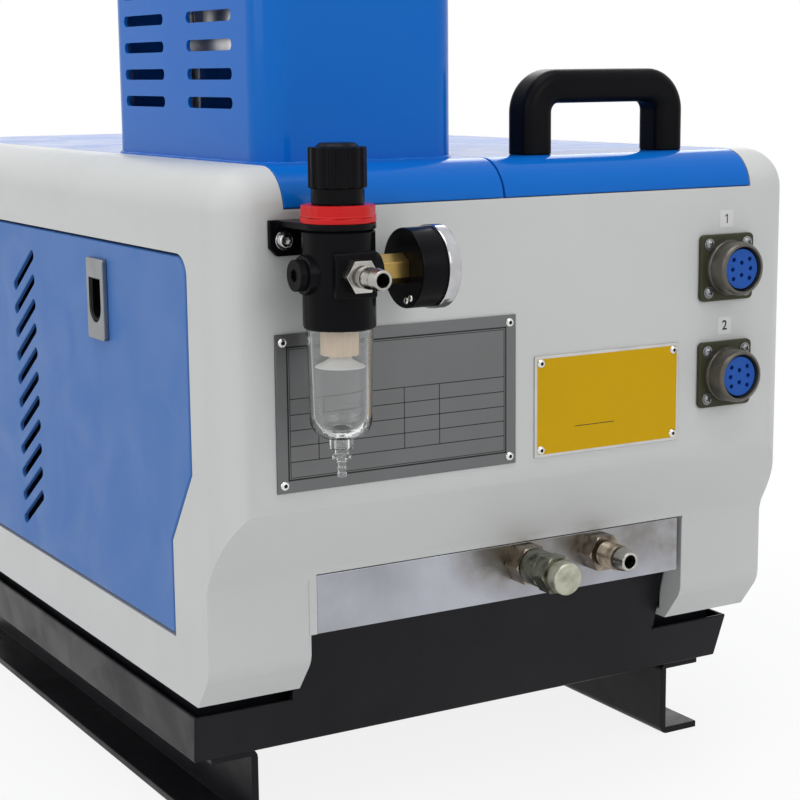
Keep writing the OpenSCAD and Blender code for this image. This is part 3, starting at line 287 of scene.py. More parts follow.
def finish_group():
    """A used surface: its colour with patches of a second colour (dirt on most finishes, painted shade and
    painted dark reflections on some), its uneven gloss, and the height of its grain.
    """
    group = bpy.data.node_groups.new("used_surface", "ShaderNodeTree")
    sockets = {
        "INPUT": ("Colour", "Grime And Shade", "Patch Share", "Patch Scale", "Grain Scale", "Rough Low", "Rough High"),
        "OUTPUT": ("Colour", "Roughness", "Grain"),
    }
    for way, names in sockets.items():
        for name in names:
            kind = "NodeSocketColor" if name in ("Colour", "Grime And Shade") else "NodeSocketFloat"
            group.interface.new_socket(name, in_out=way, socket_type=kind)
    inside, outside = group.nodes.new("NodeGroupInput"), group.nodes.new("NodeGroupOutput")
    place = add_node(group, "TexCoord")
    patches = add_node(group, "TexNoise", {"Detail": 5})
    grain = add_node(group, "TexNoise", {"Detail": 3})
    smears = add_node(group, "TexNoise", {"Scale": 23, "Detail": 4, "Distortion": 0.8})
    spread = add_node(group, "MapRange", {"From Min": 0.42, "From Max": 0.75})
    share = add_node(group, "Math", operation="MULTIPLY")
    blend = add_node(group, "Mix", data_type="RGBA")
    gloss = add_node(group, "MapRange", {"From Min": 0.3, "From Max": 0.7})
    wire(
        group,
        *((place, "Object", noise, "Vector") for noise in (patches, grain, smears)),
        (inside, "Patch Scale", patches, "Scale"),
        (inside, "Grain Scale", grain, "Scale"),
        (patches, "Fac", spread, "Value"),
        (spread, "Result", share, 0),
        (inside, "Patch Share", share, 1),
        (share, "Value", blend, "Factor"),
        (inside, "Colour", blend, "A"),
        (inside, "Grime And Shade", blend, "B"),
        (smears, "Fac", gloss, "Value"),
        (inside, "Rough Low", gloss, "To Min"),
        (inside, "Rough High", gloss, "To Max"),
        (blend, "Result", outside, "Colour"),
        (gloss, "Result", outside, "Roughness"),
        (grain, "Fac", outside, "Grain"),
    )
    return group


used_surface = finish_group()
grain_depth, coat_rough = 0.0006, 0.06


def finish(
    name, colour, grime_and_shade, share, rough, patch=60, grain=1500, relief=0.06, metal=0.0, gloss=0.2, coat=0.0
):
    """A finish on the used surface, with one value each for metal, strength of gloss and clear coat."""
    material = bpy.data.materials.new(name + "_finish")
    material["slot"] = name
    material.use_nodes = True
    tree = material.node_tree
    shader = tree.nodes["Principled BSDF"]
    set_inputs(shader, {"Metallic": metal, "Specular IOR Level": gloss})
    set_inputs(shader, {"Coat Weight": coat, "Coat Roughness": coat_rough})
    looks = {"Colour": (*colour, 1), "Grime And Shade": (*grime_and_shade, 1), "Patch Share": share, "Patch Scale": patch}
    looks |= {"Grain Scale": grain, "Rough Low": rough[0], "Rough High": rough[1]}
    used = add_node(tree, "Group", looks, name="used_surface", node_tree=used_surface)
    raised = add_node(tree, "Bump", {"Strength": relief, "Distance": grain_depth})
    wire(
        tree,
        (used, "Colour", shader, "Base Color"),
        (used, "Roughness", shader, "Roughness"),
        (used, "Grain", raised, "Height"),
        (raised, "Normal", shader, "Normal"),
    )
    return material


black_paint = finish(
    "black_paint", (0.006, 0.006, 0.008), (0.02, 0.02, 0.023), 0.35, (0.28, 0.5),
    patch=14, grain=1400, relief=0.22, gloss=0.14,
)
fold_r = 5
for node in ("left_rail", "right_rail"):
    rail = copied(node)
    low, high = box_of(node)
    web_x = high.x if node == "left_rail" else low.x
    soften(rail, fold_r, 4, lambda e: at(e, 0, web_x) and (at(e, 2, low.z) or at(e, 2, high.z)))
    soften(rail, 0.5)
    piece(node + "_channel", rail, black_paint, node)

# Base tray: a shallow pan of sheet steel on the rails, with leaning walls and an apron between the cover's
# feet. It is folded and welded at the corners, which are ground round, and painted black.
tray = soften(copied("base_tray"), 1.1, 3)
piece("base_tray_pan", tray, black_paint, "base_tray")

# Sill frame: a welded rectangle of flat bar inside the tray, on which the cover's rim stands.
# It is painted with the tray.
sill = soften(copied("sill_frame"), 0.8)
piece("sill_frame_bars", sill, black_paint, "sill_frame")

# Main cover: one moulded shell of pale grey plastic with round top edges, ball corners and a drawn-in waist.
# The top covers lie flush in its recess, and it is cut out for the door, the pump and the fittings.
edge_r, cover_wall, deck_z = 22, 6, 358
skin_t, seat_gap, seam_gap = 3, 0.3, 1
cover_low, cover_high = box_of("main_cover")
cover_high.z = deck_z


def block(low, high):
    """A plain block between two corners."""
    form = bmesh.new()
    bmesh.ops.create_cube(form, size=1)
    low, high = Vector(low), Vector(high)
    bmesh.ops.scale(form, vec=high - low, verts=form.verts)
    bmesh.ops.translate(form, vec=(low + high) / 2, verts=form.verts)
    return form


def verts_in(result):
    """The vertices in the result of an extrusion."""
    return [g for g in result["geom"] if isinstance(g, bmesh.types.BMVert)]


def slab(points, axis, start, end):
    """A flat outline, given in the two other axes, extruded along X (0), Y (1) or Z (2)."""
    form = bmesh.new()
    spots = []
    for a, b in points:
        place = [a, b]
        place.insert(axis, start)
        spots.append(form.verts.new(place))
    face = form.faces.new(spots)
    raised = bmesh.ops.extrude_face_region(form, geom=[face])
    move = Vector((0, 0, 0))
    move[axis] = end - start
    bmesh.ops.translate(form, vec=move, verts=verts_in(raised))
    bmesh.ops.recalc_face_normals(form, faces=form.faces)
    return form


def along(edge, axis):
    """Whether an edge runs along an axis."""
    run = edge.verts[1].co - edge.verts[0].co
    return abs(run[axis]) > 0.999 * run.length


def cut(form, tool, operation="DIFFERENCE"):
    """A form cut by a tool, or crossed or made one with it. Both are used up."""
    blanks = [placed("blank", mesh_of("blank", source)) for source in (form, tool)]
    knife = blanks[0].modifiers.new("knife", "BOOLEAN")
    knife.solver = "MANIFOLD"
    knife.operation = operation
    knife.object = blanks[1]
    result = bmesh.new()
    result.from_object(blanks[0], bpy.context.evaluated_depsgraph_get())
    for blank in blanks:
        mesh = blank.data
        bpy.data.objects.remove(blank)
        bpy.data.meshes.remove(mesh)
    return result


# Depth of the end face behind the unit's end, from the deck down to the lower bevel
end_outline = [(0, 380), (0, 190), (24.5, 147.5), (24.5, 101.5), (39, 82.5)]
crease_zs = [z for _, z in end_outline[1:4]]
waist_r = 5


def cover_form(inset, bottom):
    """The outer form of the cover, drawn in by an inset, down to a height."""
    size = Vector((inset, inset, 0))
    form = block(Vector((*cover_low.xy, bottom)) + size, cover_high - size - Vector((0, 0, inset)))
    soften(form, edge_r - inset, 9, lambda e: along(e, 2) or at(e, 2, cover_high.z - inset))
    ends = [(cover_low.y + depth + inset, z) for depth, z in end_outline]
    ends += [(-y, z) for y, z in reversed(ends)]
    prism = slab(ends, 0, cover_low.x - 1, cover_high.x + 1)
    soften(prism, waist_r, 4, lambda e: any(at(e, 2, z) for z in crease_zs), angle=20)
    return cut(form, prism, "INTERSECT")


def door_outline(grow):
    """The outline of the side door as (Y, Z), grown all round."""
    low, high = box_of("side_door")
    slope_top, slope_bottom, step, corner_r = 204.6, 165.5, 27, 10
    y, top, bottom = high.y + grow, high.z + grow, low.z - grow
    r = corner_r + grow
    turn = [math.radians(a) for a in range(0, 91, 10)]
    side = [(y - step, bottom), (y - step, slope_bottom), (y, slope_top)]
    side += [(y - r + r * math.cos(a), top - r + r * math.sin(a)) for a in turn]
    return side + [(-a, b) for a, b in reversed(side)]


rim_w, rim_t, rim_end = 17, 4, 71.5
foot_gap, foot_top, foot_l, foot_r, lip_d = 121.5, 147.5, 45.5, 2.2, 12
below = cover_low.z - 2.5
cut_low, cut_top = deck_z - 28, deck_z + 12
head_low, head_high = box_of("cylinder_heads")
head_play = Vector((2, 12, 0))


def foot_edge(edge):
    """Whether an edge is an upright one beside the gap between the cover's feet."""
    spot = edge.verts[0].co
    return along(edge, 2) and abs(abs(spot.x) - foot_gap) < 1.5 and spot.z < foot_top + 2.5


def pump_opening():
    """The opening round the cylinder's heads, through the shell and the deck cover."""
    return block(Vector((*head_low.xy, cut_low)) - head_play, Vector((*head_high.xy, cut_top)) + head_play)


cover = cut(cover_form(0, cover_low.z), cover_form(cover_wall, cover_low.z + rim_t))
inner_x, inner_y = cover_high.x - rim_w, -cover_low.y - rim_end
cover = cut(cover, block((-inner_x, -inner_y, below), (inner_x, inner_y, cover_low.z + rim_t + 1)))
cover = cut(cover, block((-foot_gap, cover_low.y - 1, below), (foot_gap, 1 - inner_y, foot_top)))
for inner in (-foot_gap - cover_wall, foot_gap):
    wall_end = (inner + cover_wall, cover_low.y + foot_l, foot_top + 1)
    wall = block((inner, cover_low.y, cover_low.z), wall_end)
    cover = cut(cover, cut(wall, cover_form(0, cover_low.z), "INTERSECT"), "UNION")
soften(cover, foot_r, 3, foot_edge)
bar_low = box_of("manifold_block")[0]
lip = block((-foot_gap - 1, bar_low.y, bar_low.z), (bar_low.x - 0.1, bar_low.y + lip_d, foot_top + 1))
cover = cut(cover, lip, "UNION")
lid_low, lid_high = box_of("tank_lid")
deck_low = box_of("pump_deck_cover")[0]
margin = seam_gap / 2
recess = block(
    (deck_low.x - margin, cover_low.y - 1, lid_low.z - margin),
    (lid_high.x + margin, -cover_low.y + 1, cover_high.z + 1),
)
cover = cut(cover, cut(recess, cover_form(skin_t + seat_gap, cover_low.z)))
tank_low, tank_high = box_of("tank")
tank_wall = 9
mouth = Vector((tank_wall, tank_wall, 0))
tank_opening = block(
    Vector((*tank_low.xy, tank_high.z)) + mouth, Vector((*tank_high.xy, cut_top)) - mouth
)
cover = cut(cut(cover, tank_opening), pump_opening())
door_gap = 1.5
cover = cut(cover, slab(door_outline(door_gap), 0, cover_low.x - 1, cover_high.x + 1))
panel_low, panel_high = box_of("control_panel")
panel_rim, wall_in, wall_out = Vector((8, 0, 8)), 270, 290
window_low = Vector((panel_low.x, wall_in, panel_low.z)) + panel_rim
cover = cut(cover, block(window_low, Vector((panel_high.x, wall_out, panel_high.z)) - panel_rim))
cover_plastic = finish(
    "cover_plastic", (0.62, 0.625, 0.612), (0.5, 0.49, 0.45), 0.16, (0.34, 0.52),
    patch=7, grain=1600, relief=0.1,
)
piece("main_cover_shell", cover, cover_plastic, "main_cover", smooth=28)

# Top covers: the tank lid, the cover round the pump tower and the cover behind them, flush in the grey shell.
# Each is bent from 3 mm sheet over the round front or rear edge, and enamelled in gloss blue.
blue_gloss = finish(
    "blue_gloss", (0.003, 0.138, 0.55), (0.007, 0.155, 0.545), 0.25, (0.1, 0.22),
    patch=9, grain=220, relief=0.03, gloss=0.11, coat=0.04,
)


def top_cover(node, rear_end):
    """A sheet bent over an end of the unit: its outline, extruded across and given its thickness."""
    low, high = box_of(node)
    form = bmesh.new()
    side = -1 if rear_end else 1
    turn_y = -side * (cover_high.y - edge_r)
    start = math.asin((low.z - (cover_high.z - edge_r)) / edge_r)
    first = form.verts.new((low.x, turn_y - side * edge_r * math.cos(start), low.z))
    bmesh.ops.spin(
        form, geom=[first], cent=(low.x, turn_y, cover_high.z - edge_r), axis=(side, 0, 0),
        dvec=(0, 0, 0), angle=-(math.pi / 2 - start), steps=14,
    )
    form.verts.ensure_lookup_table()
    last = max(form.verts, key=lambda v: v.co.z)
    flat = bmesh.ops.extrude_vert_indiv(form, verts=[last])["verts"][0]
    flat.co.y = low.y if rear_end else high.y
    flat.co.z = last.co.z = cover_high.z
    wide = bmesh.ops.extrude_edge_only(form, edges=form.edges[:])
    bmesh.ops.translate(form, vec=(high.x - low.x, 0, 0), verts=verts_in(wide))
    bmesh.ops.recalc_face_normals(form, faces=form.faces)
    if sum(f.normal.z for f in form.faces) < 0:
        bmesh.ops.reverse_faces(form, faces=form.faces)
    bmesh.ops.solidify(form, geom=form.faces[:], thickness=skin_t)
    return form


for node, rear_end in (("tank_lid", False), ("rear_top_cover", True), ("pump_deck_cover", False)):
    skin = soften(top_cover(node, rear_end), 0.7, 3, angle=50)
    if node == "pump_deck_cover":
        skin = cut(skin, pump_opening())
    piece(node + "_sheet", skin, blue_gloss, node)

# Tower: a tall blue box of 2 mm sheet round the air cylinder, with two columns of cooling slots in each side.
# It is folded with round upright corners, welded to the deck round its foot, and enamelled like the deck.
tower_low, tower_high = box_of("tower_cover")
tower_r, tower_top_r, tower_t = 18, 2.5, 2
vent_l, vent_h, vent_pitch, vent_rows, vent_shift, vent_span = 55, 5.8, 14.65, 10, 5.5, 42.7
vent_first = tower_low.z + 29.6
vent_ys = [(tower_low.y + tower_high.y) / 2 + vent_shift + s * vent_span for s in (-1, 1)]


def join(*forms):
    """Several forms as one. They are used up."""
    whole = bmesh.new()
    for form in forms:
        mesh = mesh_of("blank", form)
        whole.from_mesh(mesh)
        bpy.data.meshes.remove(mesh)
    return whole


def slot_outline(length, width, place, tilt=0.0):
    """A slot with round ends, as points in a plane."""
    turns = [math.radians(a) for a in range(-90, 91, 15)]
    half, r = (length - width) / 2, width / 2
    ends = [(half + r * math.cos(a), r * math.sin(a)) for a in turns]
    ends += [(-x, -y) for x, y in ends]
    c, s = math.cos(tilt), math.sin(tilt)
    return [(place[0] + x * c - y * s, place[1] + x * s + y * c) for x, y in ends]


tower = block(tower_low, tower_high)
soften(tower, tower_r, 12, lambda e: along(e, 2))
soften(tower, tower_top_r, 3, lambda e: at(e, 2, tower_high.z))
bmesh.ops.delete(tower, geom=[f for f in tower.faces if f.normal.z < -0.9], context="FACES")
bmesh.ops.solidify(tower, geom=tower.faces[:], thickness=tower_t)
vents = []
for row in range(vent_rows):
    for y in vent_ys:
        outline = slot_outline(vent_l, vent_h, (y, vent_first + row * vent_pitch))
        vents.append(slab(outline, 0, tower_low.x - 5, tower_high.x + 5))
piece("tower_cover_box", cut(tower, join(*vents)), blue_gloss, "tower_cover")


def round_outline(low, high, r, steps=6):
    """A rectangle with round corners between two corners, as points in a plane."""
    (x0, y0), (x1, y1) = (low[0] + r, low[1] + r), (high[0] - r, high[1] - r)
    spots = []
    for n, (x, y) in enumerate(((x1, y1), (x0, y1), (x0, y0), (x1, y0))):
        turns = [math.pi / 2 * (n + k / steps) for k in range(steps + 1)]
        spots += [(x + r * math.cos(a), y + r * math.sin(a)) for a in turns]
    return spots


def bead(points, z, radius, gap=3):
    """An uneven weld bead along a closed line at a height: rings of varied size, each bridged to the next."""
    line = []
    for a, b in zip(points, points[1:] + points[:1]):
        count = max(1, round(math.dist(a, b) / gap))
        line += [Vector(a).lerp(Vector(b), k / count) for k in range(count)]
    form = bmesh.new()
    up = Vector((0, 0, 1))
    rings = []
    for i, spot in enumerate(line):
        run = (line[(i + 1) % len(line)] - line[i - 1]).normalized()
        out = Vector((run.y, -run.x, 0))
        turn = Matrix((out, up, out.cross(up))).transposed().to_4x4()
        r = radius * (1 + 0.22 * math.sin(1.9 * i) + 0.15 * math.sin(0.7 * i))
        move = Matrix.Translation((spot.x, spot.y, z))
        ring = bmesh.ops.create_circle(form, segments=8, radius=r, matrix=move @ turn)["verts"]
        rings.append(list(dict.fromkeys(e for v in ring for e in v.link_edges)))
    for one, two in zip(rings, rings[1:] + rings[:1]):
        bmesh.ops.bridge_loops(form, edges=one + two)
    bmesh.ops.recalc_face_normals(form, faces=form.faces)
    return form


weld = bead(round_outline(tower_low.xy, tower_high.xy, tower_r), tower_low.z, 1.1)
piece("tower_weld", weld, blue_gloss, smooth=60)

# Tank and pump: what the cover hides, seen through the open lid, the door and the tower's slots.
# The tank, pump body and cylinder heads are cast or sawn aluminium, the posts and legs turned steel.
aluminium = finish(
    "aluminium", (0.7, 0.7, 0.7), (0.4, 0.37, 0.33), 0.4, (0.26, 0.46), patch=22, grain=500, metal=1.0
)
steel = finish(
    "steel", (0.55, 0.55, 0.54), (0.3, 0.28, 0.25), 0.3, (0.22, 0.4), grain=700, relief=0.05, metal=1.0
)
seal_rubber = finish(
    "seal_rubber", (0.03, 0.03, 0.03), (0.06, 0.055, 0.05), 0.4, (0.6, 0.8),
    patch=14, grain=900, relief=0.3,
)


def dressed(node, kind, radius=0.5, segments=2, smooth=32):
    """A node's own form with its sharp edges broken, in a finish."""
    form = soften(copied(node), radius, segments)
    return piece(node + "_body", form, kind, node, smooth=smooth)


for node in ("tank", "pump_body", "cylinder_heads", "air_valve"):
    dressed(node, aluminium, 1.2, 3)
dressed("cylinder_barrel", aluminium, 0.4)
dressed("tank_collar", seal_rubber, 1.0)
for node in ("tank_legs", "pump_posts", "pump_rod"):
    dressed(node, steel, 0.4)

# Electrics: a sheet beside the tank that carries a boxed power supply and a row of terminals.
# The sheet is plain steel, the supply's case is folded aluminium with slots, the terminals are moulded.
bay_low, bay_high = box_of("electrics_plate")
bay_sheet = 2.5
face_x = bay_high.x - bay_sheet
electrics_sheet = soften(block((face_x, *bay_low.yz), bay_high), 0.5)
piece("electrics_sheet", electrics_sheet, steel, "electrics_plate")
supply_inset, supply_drop, supply_w, supply_h = 12, 18, 88, 100
supply_low = Vector((bay_low.x, bay_low.y + supply_inset, bay_high.z - supply_drop - supply_h))
supply_high = supply_low + Vector((face_x - bay_low.x, supply_w, supply_h))
slot_l, slot_w, slot_pitch, slot_rows, slot_first, slot_ys = 30, 3.4, 9, 8, 18, (25, 63)
supply_slots = []
for y in slot_ys:
    for row in range(slot_rows):
        spot = (supply_low.y + y, supply_low.z + slot_first + slot_pitch * row)
        supply_slots.append(slab(slot_outline(slot_l, slot_w, spot), 0, bay_low.x - 1, bay_low.x + 2))
supply = cut(soften(block(supply_low, supply_high), 1), join(*supply_slots))
piece("power_supply", supply, aluminium)
terminal_plastic = finish(
    "pale_plastic", (0.5, 0.49, 0.44), (0.4, 0.38, 0.33), 0.3, (0.35, 0.5), grain=900, relief=0.08
)
terminal_count, strip_h, strip_d, strip_end, clamp_inset = 10, 30, 19.5, 8, 8
strip_z, strip_x = bay_low.z + 72, face_x - strip_d
pitch = (bay_high.y - bay_low.y - 2 * strip_end) / terminal_count
terminals, clamps = [], []
for k in range(terminal_count):
    y = bay_low.y + strip_end + k * pitch
    terminal = block((strip_x, y + 0.3, strip_z), (face_x, y + pitch - 0.3, strip_z + strip_h))
    terminals.append(soften(terminal, 0.8))
    for z in (strip_z + clamp_inset, strip_z + strip_h - clamp_inset):
        spot = (y + pitch / 2, z)
        screw = slab(slot_outline(5, 5, spot), 0, strip_x - 0.5, strip_x)
        groove = slab(slot_outline(6, 0.8, spot, 0.4 + k), 0, strip_x - 1, strip_x - 0.2)
        clamps.append(cut(screw, groove))
piece("terminal_strip", join(*terminals), terminal_plastic)
piece("terminal_clamps", join(*clamps), steel)

# Manifold: a sawn and milled aluminium bar across the hose end, into which the hose fittings are screwed.
# Its face is bare, with fine milling lines along it, finger smears and brown heat stains round the fittings.
manifold = soften(copied("manifold_block"), 0.6)
manifold_face = finish(
    "aluminium", (0.42, 0.43, 0.48), (0.17, 0.17, 0.19), 0.75, (0.16, 0.42),
    patch=11, grain=500, relief=0.0, metal=1.0,
)


def add_lines(material, scale, strength, distance=0.0002):
    """Fine tool lines on a metal finish: noise stretched along one axis as the height of its grain."""
    tree = material.node_tree
    place = add_node(tree, "TexCoord")
    stretch = add_node(tree, "Mapping", {"Scale": scale})
    lines = add_node(tree, "TexNoise", {"Scale": 1, "Detail": 3})
    raised = next(n for n in tree.nodes if n.type == "BUMP")
    set_inputs(raised, {"Strength": strength, "Distance": distance})
    wire(
        tree,
        (place, "Object", stretch, "Vector"),
        (stretch, "Vector", lines, "Vector"),
        (lines, "Fac", raised, "Height"),
    )


def add_stain(material, places, reach, colour, patch=90):
    """A stain round some places, in metres, broken up by noise and laid over the colour."""
    tree = material.node_tree
    place = add_node(tree, "TexCoord")
    cloud = add_node(tree, "TexNoise", {"Scale": patch, "Detail": 5})
    wire(tree, (place, "Object", cloud, "Vector"))
    under = tree.nodes["used_surface"], "Colour"
    for spot in places:
        away = add_node(tree, "VectorMath", {1: spot}, operation="DISTANCE")
        near = add_node(tree, "MapRange", {"From Min": reach, "From Max": reach * 0.3})
        amount = add_node(tree, "Math", operation="MULTIPLY")
        over = add_node(tree, "Mix", {"B": (*colour, 1)}, data_type="RGBA")
        wire(
            tree,
            (place, "Object", away, 0),
            (away, "Value", near, "Value"),
            (near, "Result", amount, 0),
            (cloud, "Fac", amount, 1),
            (amount, "Value", over, "Factor"),
            (*under, over, "A"),
        )
        under = over, "Result"
    wire(tree, (*under, tree.nodes["Principled BSDF"], "Base Color"))


add_lines(manifold_face, (25, 25, 1800), 0.25)
glue_y, glue_reach = -0.256, 0.026
glue_spots = (0.004, 0.138), (0.052, 0.139), (-0.014, 0.144), (0.03, 0.147), (0.086, 0.143), (0.112, 0.136)
add_stain(manifold_face, [(x, glue_y, z) for x, z in glue_spots], glue_reach, (0.16, 0.14, 0.1))
piece("manifold_bar", manifold, manifold_face, "manifold_block")

# Lid handle: a bow handle moulded in black plastic, held by two screws from under the lid.
# Its skin is finely grained and a little uneven in its gloss.
black_plastic = finish(
    "black_plastic", (0.004, 0.004, 0.005), (0.011, 0.011, 0.012), 0.3, (0.27, 0.44),
    patch=30, grain=1800, relief=0.12, gloss=0.05,
)
dressed("lid_handle", black_plastic, 0.8, smooth=40)
dressed("handle_screws", steel, 0.3)

# Lid hinges: two steel butt hinges between the lid and the rear cover, each with a pin through its knuckles.
# Their leaves ride on the lid, and their brackets stay on the rear cover.
for node in ("lid_hinge_leaves", "lid_hinge_brackets"):
    dressed(node, steel, 0.4)

# Side door and right panel: trays of 2.5 mm sheet with folded edges and a column of slanting slots.
# Both are powder coated in a satin blue, whose paler, greyer tone is painted sheen. The door turns on two
# pins at its lower edge.
# The blue is lightened and greyed past the enamel's: painted sheen, the white reflection on the door's face
# at its grazing angle.
blue_paint = finish(
    "blue_paint", (0.05, 0.16, 0.45), (0.08, 0.195, 0.48), 0.35, (0.34, 0.5), patch=8, relief=0.1
)
# Edges further from the middle than this are the rim's, not a slot's
slot_reach = 150
for node, face_x in (("side_door", cover_low.x), ("right_panel", cover_high.x)):
    panel = copied(node)
    soften(panel, 1.6, 3, lambda e: at(e, 0, face_x) and max(abs(v.co.y) for v in e.verts) > slot_reach)
    soften(panel, 0.4, 1, lambda e: at(e, 0, face_x))
    piece(node + "_tray", panel, blue_paint, node)
dressed("door_pins", steel, 0.3)

# Latches: a pressed grey plate on the door round a black cup with a finger window.
# Behind it a black slider, moved by a finger, draws its bolt out of the cover.
dull_steel = finish(
    "steel", (0.26, 0.27, 0.28), (0.16, 0.16, 0.16), 0.4, (0.26, 0.42), grain=700, metal=1.0
)


def finger_window(y, z, width, top, bottom):
    """A window that is square at the top and round below, as points."""
    turns = [math.pi + math.pi * k / 16 for k in range(17)]
    low_mid, r = z - bottom + width / 2, width / 2
    rounded = [(y + r * math.cos(a), low_mid + r * math.sin(a)) for a in turns]
    return [(y + r, z + top), (y - r, z + top), *rounded]


latch_low, latch_high = box_of("latch_plates")
latch_w, door_sheet, latch_mid_z = 24, 2.5, (latch_low.z + latch_high.z) / 2
# Width of each window, and its height above and below the middle
plate_window, liner_window, cup_window = (17, 11.5, 13), (12, 11, 11), (11.4, 10.7, 10.7)
cups, plates = [], []
for y in (latch_low.y + latch_w / 2, latch_high.y - latch_w / 2):
    outline = round_outline((y - latch_w / 2, latch_low.z), (y + latch_w / 2, latch_high.z), 2)
    plate = soften(slab(outline, 0, latch_low.x, latch_high.x), 0.5)
    wide = finger_window(y, latch_mid_z, *plate_window)
    plates.append(cut(plate, slab(wide, 0, latch_low.x - 1, latch_high.x + 1)))
    cup = slab(wide, 0, latch_low.x + 1, latch_high.x)
    inner = finger_window(y, latch_mid_z, *liner_window)
    liner = slab(inner, 0, latch_high.x - 0.5, latch_high.x + door_sheet)
    for form in (cup, liner):
        window = finger_window(y, latch_mid_z, *cup_window)
        cups.append(cut(form, slab(window, 0, latch_low.x - 1, latch_high.x + door_sheet + 1)))
piece("latch_frames", join(*plates), dull_steel, "latch_plates")
piece("latch_cups", join(*cups), black_plastic, body="door")
for node in ("front_latch", "rear_latch"):
    dressed(node, black_plastic, 0.4)

# Plates: two plates of thin sheet on the hose end, one of brushed metal with an etched table, one yellow.
# Each is held by four blind rivets, whose pulled stems sit in a shallow hole; the stems are painted black as
# painted shade for that hole.
plate_metal = finish(
    "aluminium", (0.15, 0.152, 0.155), (0.1, 0.1, 0.1), 0.3, (0.32, 0.48),
    patch=20, grain=500, relief=0.0, metal=1.0,
)
add_lines(plate_metal, (30, 30, 2600), 0.3)
yellow_paint = finish(
    "yellow_paint", (0.62, 0.365, 0.003), (0.5, 0.29, 0.005), 0.25, (0.25, 0.4),
    patch=20, grain=900, relief=0.05, gloss=0.1,
)
etched = finish(
    "black_paint", (0.012, 0.012, 0.012), (0.05, 0.05, 0.05), 0.3, (0.4, 0.55),
    patch=14, grain=900, relief=0.05,
)
dressed("data_plate", plate_metal, 0.25)
dressed("yellow_plate", steel, 0.25)


def ruled(node, inset, frame_w, columns=(), rows=(), top=1.0):
    """A frame line round a plate and a table of thin lines below a height, as shares of the plate."""
    low, high = box_of(node)
    y0, y1 = low.y - 0.04, low.y + 0.02
    x0, x1, z0, z1 = low.x + inset, high.x - inset, low.z + inset, high.z - inset
    table_top = z0 + (z1 - z0) * top
    bars = [(x0, x1, z0, z0 + frame_w), (x0, x1, z1 - frame_w, z1)]
    bars += [(x0, x0 + frame_w, z0, z1), (x1 - frame_w, x1, z0, z1)]
    thin, table_h = 0.45, table_top - z0
    bars += [(x0, x1, z0 + table_h * r, z0 + table_h * r + thin) for r in rows]
    for share in columns:
        x = x0 + (x1 - x0) * share
        bars.append((x, x + thin, z0 + table_h * rows[0], table_top))
    return join(*[block((a, y0, c), (b, y1, d)) for a, b, c, d in bars])


def turned(profile, place, axis, steps=32, closed=False):
    """A turned form: points of (radius, height) spun round an axis at a place."""
    form = bmesh.new()
    spots = [form.verts.new((r, 0, h)) for r, h in profile]
    lines = [form.edges.new(pair) for pair in zip(spots, spots[1:])]
    if closed:
        lines.append(form.edges.new((spots[-1], spots[0])))
    bmesh.ops.spin(
        form, geom=spots + lines, cent=(0, 0, 0), axis=(0, 0, 1), dvec=(0, 0, 0), angle=2 * math.pi,
        steps=steps, use_merge=True,
    )
    bmesh.ops.remove_doubles(form, verts=form.verts, dist=0.0005)
    bmesh.ops.recalc_face_normals(form, faces=form.faces)
    turn = Vector((0, 0, 1)).rotation_difference(Vector(axis)).to_matrix()
    bmesh.ops.rotate(form, cent=(0, 0, 0), matrix=turn, verts=form.verts)
    bmesh.ops.translate(form, vec=place, verts=form.verts)
    return form


to_front, to_rear, upward = (0, -1, 0), (0, 1, 0), (0, 0, 1)
table_columns, table_rows, table_share = (0.125, 0.516, 0.682), (0.2, 0.4, 0.6, 0.8, 1.0), 0.61
data_lines = ruled("data_plate", 6.0, 0.8)
table_lines = ruled("data_plate", 7.3, 0.35, table_columns, table_rows, table_share)
piece("data_plate_lines", join(data_lines, table_lines), etched)
field_low, field_high = box_of("yellow_plate")
field_edge = Vector((1.6, 0, 1.6))
field_outline = round_outline((field_low + field_edge).xz, (field_high - field_edge).xz, 1.5)
field = slab(field_outline, 1, field_low.y - 0.05, field_low.y + 0.02)
piece("yellow_plate_field", field, yellow_paint)
line_start, line_end, line_rise, line_h = 0.27, 0.54, 0.27, 0.4
field_w, line_z = field_high.x - field_low.x, field_low.z + line_rise * (field_high.z - field_low.z)
line_low = (field_low.x + line_start * field_w, field_low.y - 0.09, line_z)
line_high = (field_low.x + line_end * field_w, field_low.y - 0.04, line_z + line_h)
piece("yellow_plate_line", block(line_low, line_high), etched)
rivet_inset = 4


def corners_in(low, high, inset):
    """The four corners of a box seen from the front, as (X, Z), drawn in by an inset."""
    xs, zs = (low.x + inset, high.x - inset), (low.z + inset, high.z - inset)
    return [(x, z) for x in xs for z in zs]


rivet_head = [(0.85, -5), (0.85, 0.8), (1.0, 1.1), (1.5, 1.15), (2.05, 0.8), (2.38, 0.3), (2.42, 0)]
rivet_head += [(1.2, 0), (1.2, -5)]
rivet_stem = [(0, 0.35), (0.5, 0.3), (0.85, 0.1), (0.85, -4), (0, -4)]
rivets, stems = [], []
for node in ("data_plate", "yellow_plate"):
    low, high = box_of(node)
    for x, z in corners_in(low, high, rivet_inset):
        rivets.append(turned(rivet_head, (x, low.y, z), to_front, 20, True))
        stems.append(turned(rivet_stem, (x, low.y, z), to_front, 12))
bright_steel = finish(
    "steel", (0.7, 0.7, 0.69), (0.4, 0.38, 0.35), 0.3, (0.14, 0.28),
    patch=90, grain=700, relief=0.04, metal=1.0,
)
piece("plate_rivet_heads", join(*rivets), bright_steel, "plate_rivets", smooth=50)
# The stems take the black print paint: painted shade, the dark of the hole over each stem.
piece("plate_rivet_stems_painted_shade", join(*stems), etched)

